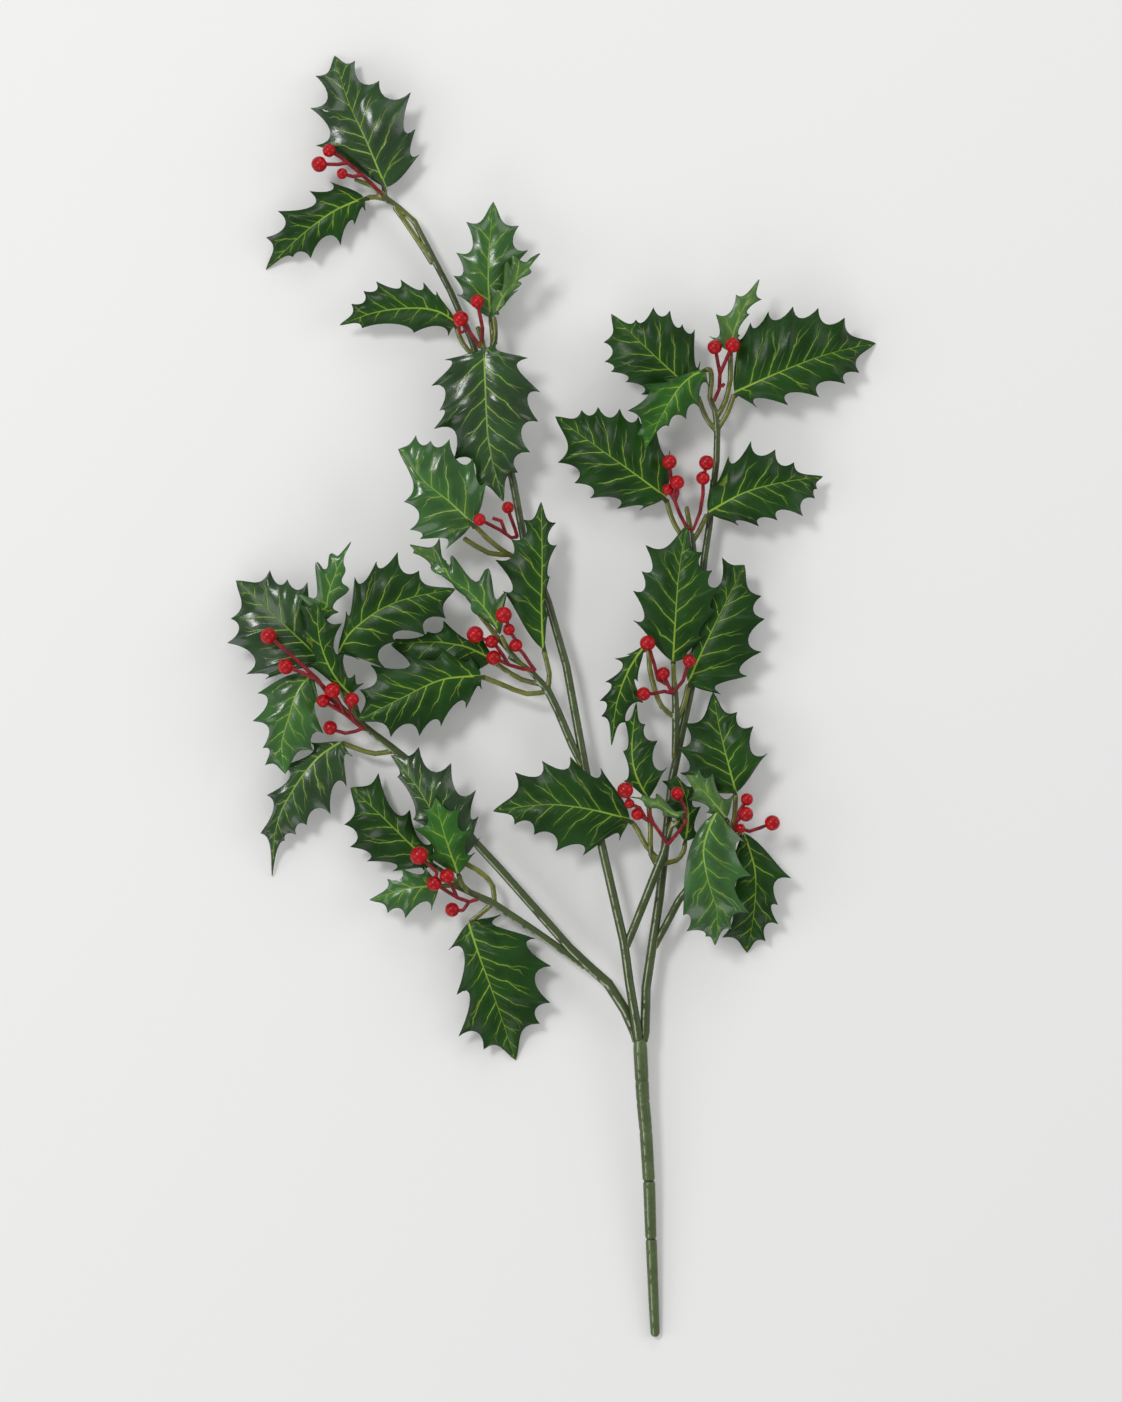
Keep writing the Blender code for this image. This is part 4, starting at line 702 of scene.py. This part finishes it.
def column_shares(width):
    """Places across a half blade, closer together beside the midrib and at the edge."""
    beside = [min(0.45 * MM / width, 0.05), min(0.95 * MM / width, 0.11), min(1.7 * MM / width, 0.19)]
    last = beside[-1]
    rest = [last + (1 - last) * share for share in (0.14, 0.29, 0.45, 0.61, 0.77, 0.91, 1.0)]
    return [0.0] + beside + rest


def soft_step(value):
    """From 0 to 1 with soft ends."""
    value = min(max(value, 0.0), 1.0)
    return value * value * (3 - 2 * value)


def blade_height(across, width, order, along, gap, sizes):
    """How far the blade's skin stands off the straight line from its midrib to its edge."""
    rise = sizes.arch * width * 4 * across ** 0.7 * (1 - across)
    puff = abs(math.sin(math.pi * order)) ** 0.8
    window = soft_step(across / 0.3) * (1 - 0.85 * soft_step((across - 0.6) / 0.4))
    rise += sizes.quilt_height * puff * window * min(1.0, gap / (9 * MM))
    distance = across * width / (0.75 * MM)
    rise += sizes.rib_height * math.exp(-distance * distance) * (1 - along) ** 0.6
    return rise


def make_blade(blade, sizes):
    """A grid laid from the midrib to the edges, raised between its veins and given its thickness."""
    rows = blade.rows()
    across_count = 2 * HALF_COLUMNS
    bpy.ops.object.select_all(action="DESELECT")
    bpy.ops.mesh.primitive_grid_add(
        x_subdivisions=across_count, y_subdivisions=len(rows) - 1, size=blade.length, location=(0, 0, 0))
    obj = bpy.context.active_object
    obj.name = blade.node.replace("leaf_", "blade_")
    mesh = obj.data
    mesh.name = obj.name
    wide = across_count + 1
    if len(mesh.vertices) != wide * len(rows):
        raise RuntimeError("the grid has an unexpected number of points")
    co = np.zeros((len(rows), wide, 3))
    facts = np.zeros((2, len(rows), wide, 6))
    seed = 2 * LEAF_NODES.index(blade.node)
    for side in (0, 1):
        knots = blade.knots[side]
        for row, share in enumerate(rows):
            order = float(np.interp(share, knots, range(len(knots))))
            middle = smooth_at(blade.rib, share)
            edge = blade.edge_at(side, order)
            width = max(np.linalg.norm(edge - middle), LEAST_WIDTH)
            for step, across in enumerate(column_shares(width)):
                column = HALF_COLUMNS + (-step if side == 0 else step)
                point = middle + (edge - middle) * across
                vein, gap = blade.vein_order(point, side)
                gap *= VEIN_GAP
                height = blade_height(across, width, vein, share, gap, sizes)
                place = Vector((point[0] * WAVES_PER_METRE, point[1] * WAVES_PER_METRE, 3.7 * seed))
                wave = noise.noise(place) * sizes.wave_height
                point[2] = max(point[2] + height + wave * (0.3 + 0.7 * across), LOWEST_BLADE)
                co[row, column] = point
                facts[side, row, column] = (vein, across, gap / MM, width / MM, share, seed + side)
    mesh.vertices.foreach_set("co", co.reshape(-1))
    write_maps(mesh, facts, wide)
    bpy.ops.object.mode_set(mode="EDIT")
    bpy.ops.mesh.select_all(action="SELECT")
    bpy.ops.mesh.remove_doubles(threshold=0.01 * MM)
    bpy.ops.object.mode_set(mode="OBJECT")
    apply_modifier(
        obj, "SOLIDIFY", thickness=sizes.blade_thickness, offset=0.0, material_offset=1, use_rim=True)
    return obj


def write_maps(mesh, facts, wide):
    """Stores on every corner which vein it is by, how far out it lies and the real widths there."""
    vertex = np.zeros(len(mesh.loops), np.int32)
    mesh.loops.foreach_get("vertex_index", vertex)
    row, column = np.divmod(vertex, wide)
    middle = column.reshape(-1, 4).mean(axis=1)
    side = np.repeat((middle > HALF_COLUMNS).astype(int), 4)
    values = facts[side, row, column]
    while mesh.uv_layers:
        mesh.uv_layers.remove(mesh.uv_layers[0])
    for i, name in enumerate(("veins", "spans", "place")):
        layer = mesh.uv_layers.new(name=name)
        layer.data.foreach_set("uv", values[:, 2 * i: 2 * i + 2].astype(np.float32).reshape(-1))


def add_collar(obj, blade, stems):
    """The tapered sleeve that joins the petiole to the back of the midrib."""
    base = Vector(blade.rib[0])
    inner = Vector(smooth_at(blade.rib, COLLAR_REACH)) - Vector((0, 0, 0.15 * MM))
    ring = [point for point, _, gap in stems.find_range(base, STEM_NEAR)]
    outer = base + (base - inner).normalized() * 1.5 * MM
    if ring:
        centre = sum(ring, Vector()) / len(ring)
        outer = base + (centre - base) * 2.0
    axis = inner - outer
    bpy.ops.object.select_all(action="DESELECT")
    bpy.ops.mesh.primitive_cone_add(
        vertices=COLLAR_SIDES, radius1=COLLAR_BASE, radius2=COLLAR_END, depth=axis.length,
        location=(outer + inner) / 2, rotation=axis.to_track_quat("Z", "Y").to_euler())
    collar = bpy.context.active_object
    bpy.ops.object.transform_apply(location=True, rotation=True, scale=True)
    join(obj, [collar])


class HOLLY_OT_leaves(bpy.types.Operator):
    """Make every leaf as a veined, quilted blade with a collar at its base"""

    bl_idname = "holly.leaves"
    bl_label = "Leaves"

    def execute(self, context):
        sizes = context.scene.holly_sizes
        colours = context.scene.holly_colours
        stems = stem_points()
        back = leaf_back("leaf_back", colours, 0.7)
        tops = {
            (bright, shiny): leaf_top(
                "leaf" + ("_bright" if bright else "_dark") + ("_shiny" if shiny else "_satin"),
                tone(colours.leaf, 1.8 if bright else 0.9), tuple(colours.vein), 1.0 if shiny else 0.0)
            for bright in (False, True) for shiny in (False, True)
        }
        pale = leaf_top("leaf_pale_face", tuple(colours.pale), PALE_VEIN, 0.35)
        for node in LEAF_NODES:
            blade = Blade(node, stems)
            obj = make_blade(blade, sizes)
            add_collar(obj, blade, stems)
            face = pale if node in PALE_LEAVES else tops[node in BRIGHT_LEAVES, node in SHINY_LEAVES]
            obj.data.materials.clear()
            obj.data.materials.append(face)
            obj.data.materials.append(tops[False, False] if node in PALE_LEAVES else back)
            only(obj)
            bpy.ops.object.shade_smooth_by_angle(angle=BLADE_SMOOTH)
            settle(obj, node)
        return {"FINISHED"}


# ---------------------------------------------------------------- stems


def store(mesh, name, values):
    """Keeps a number on every point of the piece for its material."""
    attribute = mesh.attributes.new(name, "FLOAT", "POINT")
    attribute.data.foreach_set("value", np.array(values, np.float32))


def girths(mesh):
    """The half thickness in mm under every point, from a ray through the piece."""
    tree = BVHTree.FromPolygons(
        [vert.co for vert in mesh.vertices], [tuple(face.vertices) for face in mesh.polygons])
    found = []
    for vert in mesh.vertices:
        start = vert.co - vert.normal * 0.02 * MM
        hit = tree.ray_cast(start, -vert.normal, 12 * MM)
        found.append(hit[3] / MM / 2 if hit[3] else 1.0)
    return found


def creases(mesh):
    """How far in mm every point lies under the usual half thickness of the trunk round it."""
    points = np.array([vert.co for vert in mesh.vertices])
    along = (points[:, 1] - points[:, 1].min()) / RING_STEP
    ring = along.astype(int)
    count = ring.max() + 1
    reach = np.zeros(count)
    for step in range(count):
        own = points[ring == step]
        if len(own):
            reach[step] = (own[:, 0].max() - own[:, 0].min()) / MM / 2
    usual = [np.median(reach[max(step - RING_REACH, 0):step + RING_REACH + 1]) for step in range(count)]
    depth = np.clip(np.array(usual) - reach, 0.0, 1.0)
    depth[:RING_LOW_END] = 0.0
    depth[-RING_HIGH_END:] = 0.0
    return np.interp(along, np.arange(count) + 0.5, depth)


def make_stem(node, sizes):
    """The solid with its corners and forks rounded off. The trunk keeps its grooves sharper."""
    shape = merged_copy(node)
    obj = new_piece("stem_" + node, shape)
    is_trunk = node == "trunk"
    voxel = sizes.stem_voxel * (TRUNK_VOXEL if is_trunk else 1.0)
    swell = sizes.stem_swell * (TRUNK_SWELL if is_trunk else 1.0)
    apply_modifier(obj, "REMESH", mode="VOXEL", voxel_size=voxel, use_smooth_shade=True)
    apply_modifier(obj, "SMOOTH", factor=0.5, iterations=2 if is_trunk else 7)
    apply_modifier(obj, "DISPLACE", strength=swell, mid_level=0.0)
    mesh = obj.data
    store(mesh, "girth", girths(mesh))
    # How much each point faces up and to the left, towards the key light, where the painted highlight line
    # and glints go.
    store(mesh, "side", [0.5 - 0.5 * vert.normal.x + 0.15 * vert.normal.z for vert in mesh.vertices])
    # For the painted side shade: how far each point turns away from facing up.
    store(mesh, "painted_side_shade", [1.0 - abs(vert.normal.z) for vert in mesh.vertices])
    # Depth of the trunk's grooves, for the painted shade in them.
    store(mesh, "painted_groove_shade", creases(mesh) if is_trunk else np.zeros(len(mesh.vertices)))
    return obj


class HOLLY_OT_stems(bpy.types.Operator):
    """Round and finish the trunk, the branches and the leaf stalks"""

    bl_idname = "holly.stems"
    bl_label = "Stems"

    def execute(self, context):
        sizes = context.scene.holly_sizes
        colours = context.scene.holly_colours
        trunk = stem_material("trunk_green", colours, colours.trunk)
        branch = stem_material("branch_green", colours, colours.branch)
        for node in STEM_NODES:
            obj = make_stem(node, sizes)
            obj.data.materials.append(trunk if node == "trunk" else branch)
            settle(obj, node)
        return {"FINISHED"}


# ---------------------------------------------------------------- berries


def ball_groups(shape):
    """The faces of each berry: near-equilateral triangles, wider than any face of a stalk."""
    def is_ball(face):
        sides = [edge.calc_length() for edge in face.edges]
        return min(sides) > BERRY_FACE and min(sides) > BERRY_EVEN * max(sides)

    left = {face for face in shape.faces if is_ball(face)}
    groups = []
    while left:
        found = set()
        todo = [min(left, key=lambda face: face.index)]
        while todo:
            face = todo.pop()
            if face in found:
                continue
            found.add(face)
            todo += [other for vert in face.verts for other in vert.link_faces if other in left]
        left -= found
        if len(found) > 12:
            groups.append(found)
    return groups


def ball_of(corners):
    """The centre and radius of the sphere that the corners lie on."""
    points = np.array([vert.co for vert in corners]) / MM
    rows = np.hstack([2 * points, np.ones((len(points), 1))])
    answer = np.linalg.lstsq(rows, (points ** 2).sum(axis=1), rcond=None)[0]
    radius = math.sqrt(answer[3] + (answer[:3] ** 2).sum())
    return Vector(answer[:3]) * MM, radius * MM


def berry_master():
    """A round berry of unit radius with a sunk ring at the stalk and a small pit at its tip."""
    bpy.ops.object.select_all(action="DESELECT")
    bpy.ops.mesh.primitive_uv_sphere_add(segments=28, ring_count=18, radius=1.0, location=(0, 0, 0))
    obj = bpy.context.active_object
    obj.name = "berry_master"
    for vert in obj.data.vertices:
        flat = math.hypot(vert.co.x, vert.co.y)
        if vert.co.z > 0:
            vert.co.z -= 0.16 * math.exp(-(flat / 0.13) ** 2)
        else:
            vert.co.z += 0.12 * math.exp(-(flat / 0.22) ** 2)
    store(obj.data, "pit", [
        math.exp(-(math.hypot(vert.co.x, vert.co.y) / 0.10) ** 2) if vert.co.z > 0 else
        0.6 * math.exp(-(math.hypot(vert.co.x, vert.co.y) / 0.25) ** 2)
        for vert in obj.data.vertices])
    only(obj)
    bpy.ops.object.shade_smooth()
    return obj


def make_cluster(node, master, sizes, stems):
    """Round stalks that end in a knob, with a copy of the berry over each knob."""
    shape = merged_copy(node)
    shape.verts.index_update()
    shape.faces.index_update()
    balls = []
    shrinking = []
    for faces in ball_groups(shape):
        own = {vert for face in faces for vert in face.verts}
        corners = sorted(own, key=lambda vert: vert.index)
        centre, radius = ball_of(corners)
        near = [vert.co for vert in shape.verts if vert not in own]
        near = [point for point in near if (point - centre).length < 1.6 * radius]
        inward = sum(near, Vector()) / len(near) - centre if near else Vector((0, 0, -1))
        balls.append((centre, radius, -inward.normalized()))
        shrinking += [(vert, centre) for vert in corners]
    for vert, centre in shrinking:
        vert.co = centre + (vert.co - centre) * KNOB
    obj = new_piece(node.replace("berries_", "sprig_"), shape)
    apply_modifier(obj, "REMESH", mode="VOXEL", voxel_size=sizes.stalk_voxel, use_smooth_shade=True)
    apply_modifier(obj, "SMOOTH", factor=0.5, iterations=4)
    apply_modifier(obj, "DISPLACE", strength=sizes.stalk_swell, mid_level=0.0)
    gaps = [stems.find(vert.co)[2] / MM for vert in obj.data.vertices]
    store(obj.data, "redness", [soft_step((gap - 0.5) / 2.0) for gap in gaps])
    obj.data.materials.append(bpy.data.materials["berry_stalk"])
    obj.data.materials.append(bpy.data.materials["berry_red"])
    copies = []
    for centre, radius, outward in balls:
        berry = master.copy()
        berry.data = master.data.copy()
        bpy.context.scene.collection.objects.link(berry)
        turn = outward.to_track_quat("Z", "Y").to_matrix().to_4x4()
        berry.data.transform(turn @ berry.matrix_world)
        for vert in berry.data.vertices:
            vert.co = vert.co * radius * BERRY_SKIN + centre
        berry.data.materials.append(bpy.data.materials["berry_stalk"])
        berry.data.materials.append(bpy.data.materials["berry_red"])
        berry.data.polygons.foreach_set("material_index", [1] * len(berry.data.polygons))
        copies.append(berry)
    join(obj, copies)
    return obj


class HOLLY_OT_berries(bpy.types.Operator):
    """Make the clusters of red berries on their stalks"""

    bl_idname = "holly.berries"
    bl_label = "Berries"

    def execute(self, context):
        sizes = context.scene.holly_sizes
        colours = context.scene.holly_colours
        berry_material(colours)
        stalk_material(colours)
        stems = stem_points()
        master = berry_master()
        for node in BERRY_NODES:
            obj = make_cluster(node, master, sizes, stems)
            settle(obj, node)
        bpy.data.objects.remove(master, do_unlink=True)
        return {"FINISHED"}


# ---------------------------------------------------------------- stage


def add_light(name, location, target, size, watts):
    """A round white softbox that faces the target."""
    light = bpy.data.lights.new(name, "AREA")
    light.shape = "DISK"
    light.size = size
    light.energy = watts
    light.color = WHITE
    obj = bpy.data.objects.new(name, light)
    obj.location = location
    obj.rotation_euler = (Vector(target) - Vector(location)).to_track_quat("-Z", "Y").to_euler()
    bpy.context.scene.collection.objects.link(obj)


class HOLLY_OT_stage(bpy.types.Operator):
    """Make the pale floor, the soft light and the camera above the spray"""

    bl_idname = "holly.stage"
    bl_label = "Stage"

    def execute(self, context):
        low, high = (Vector(corner) for corner in CAD_BOX)
        middle = (low + high) / 2
        bpy.ops.object.select_all(action="DESELECT")
        bpy.ops.mesh.primitive_plane_add(size=12.0, location=(0, 0, -0.2 * MM))
        floor = context.active_object
        floor.name = "floor"
        bpy.ops.object.transform_apply(location=True, rotation=True, scale=True)
        shader = Shader("floor_white")
        shader.set(base_color=(0.86, 0.86, 0.855), roughness=0.85, specular=0.1)
        floor.data.materials.append(shader.material)

        world = bpy.data.worlds.new("studio")
        world.use_nodes = True
        background = world.node_tree.nodes["Background"]
        background.inputs["Color"].default_value = (*WHITE, 1.0)
        background.inputs["Strength"].default_value = WORLD_STRENGTH
        context.scene.world = world
        context.scene.view_settings.view_transform = "Standard"
        add_light("key", KEY_PLACE, middle, KEY_SIZE, KEY_WATTS)
        for name, place in FILL_PLACES.items():
            add_light("fill_" + name, (*place, FILL_HEIGHT), middle, FILL_SIZE, FILL_WATTS)

        camera = bpy.data.objects.new("camera", bpy.data.cameras.new("camera"))
        context.scene.collection.objects.link(camera)
        tall = (high.y - low.y) * FRAME_MARGIN
        camera.data.sensor_width = SENSOR
        camera.data.lens = SENSOR * (CAMERA_HEIGHT - middle.z) / tall
        camera.data.clip_end = 50.0
        camera.location = (middle.x + CAMERA_SHIFT[0], middle.y + CAMERA_SHIFT[1], CAMERA_HEIGHT)
        context.scene.camera = camera
        return {"FINISHED"}


class HOLLY_PT_panel(bpy.types.Panel):
    """The spray's sizes, colours and steps"""

    bl_idname = "HOLLY_PT_panel"
    bl_label = "Holly spray"
    bl_space_type = "VIEW_3D"
    bl_region_type = "UI"
    bl_category = "Holly"

    def draw(self, context):
        column = self.layout.column()
        for group in (context.scene.holly_sizes, context.scene.holly_colours):
            for name in group.bl_rna.properties.keys():
                if name not in ("rna_type", "name"):
                    column.prop(group, name)
        for operator in OPERATORS:
            column.operator(operator.bl_idname)


OPERATORS = (HOLLY_OT_leaves, HOLLY_OT_stems, HOLLY_OT_berries, HOLLY_OT_stage)
CLASSES = (HollySizes, HollyColours, *OPERATORS, HOLLY_PT_panel)


def register():
    for cls in CLASSES:
        bpy.utils.register_class(cls)
    bpy.types.Scene.holly_sizes = bpy.props.PointerProperty(type=HollySizes)
    bpy.types.Scene.holly_colours = bpy.props.PointerProperty(type=HollyColours)


def unregister():
    del bpy.types.Scene.holly_colours
    del bpy.types.Scene.holly_sizes
    for cls in reversed(CLASSES):
        bpy.utils.unregister_class(cls)


def main():
    register()
    bpy.ops.holly.leaves()
    bpy.ops.holly.stems()
    bpy.ops.holly.berries()
    bpy.ops.holly.stage()


if __name__ == "__main__":
    main()
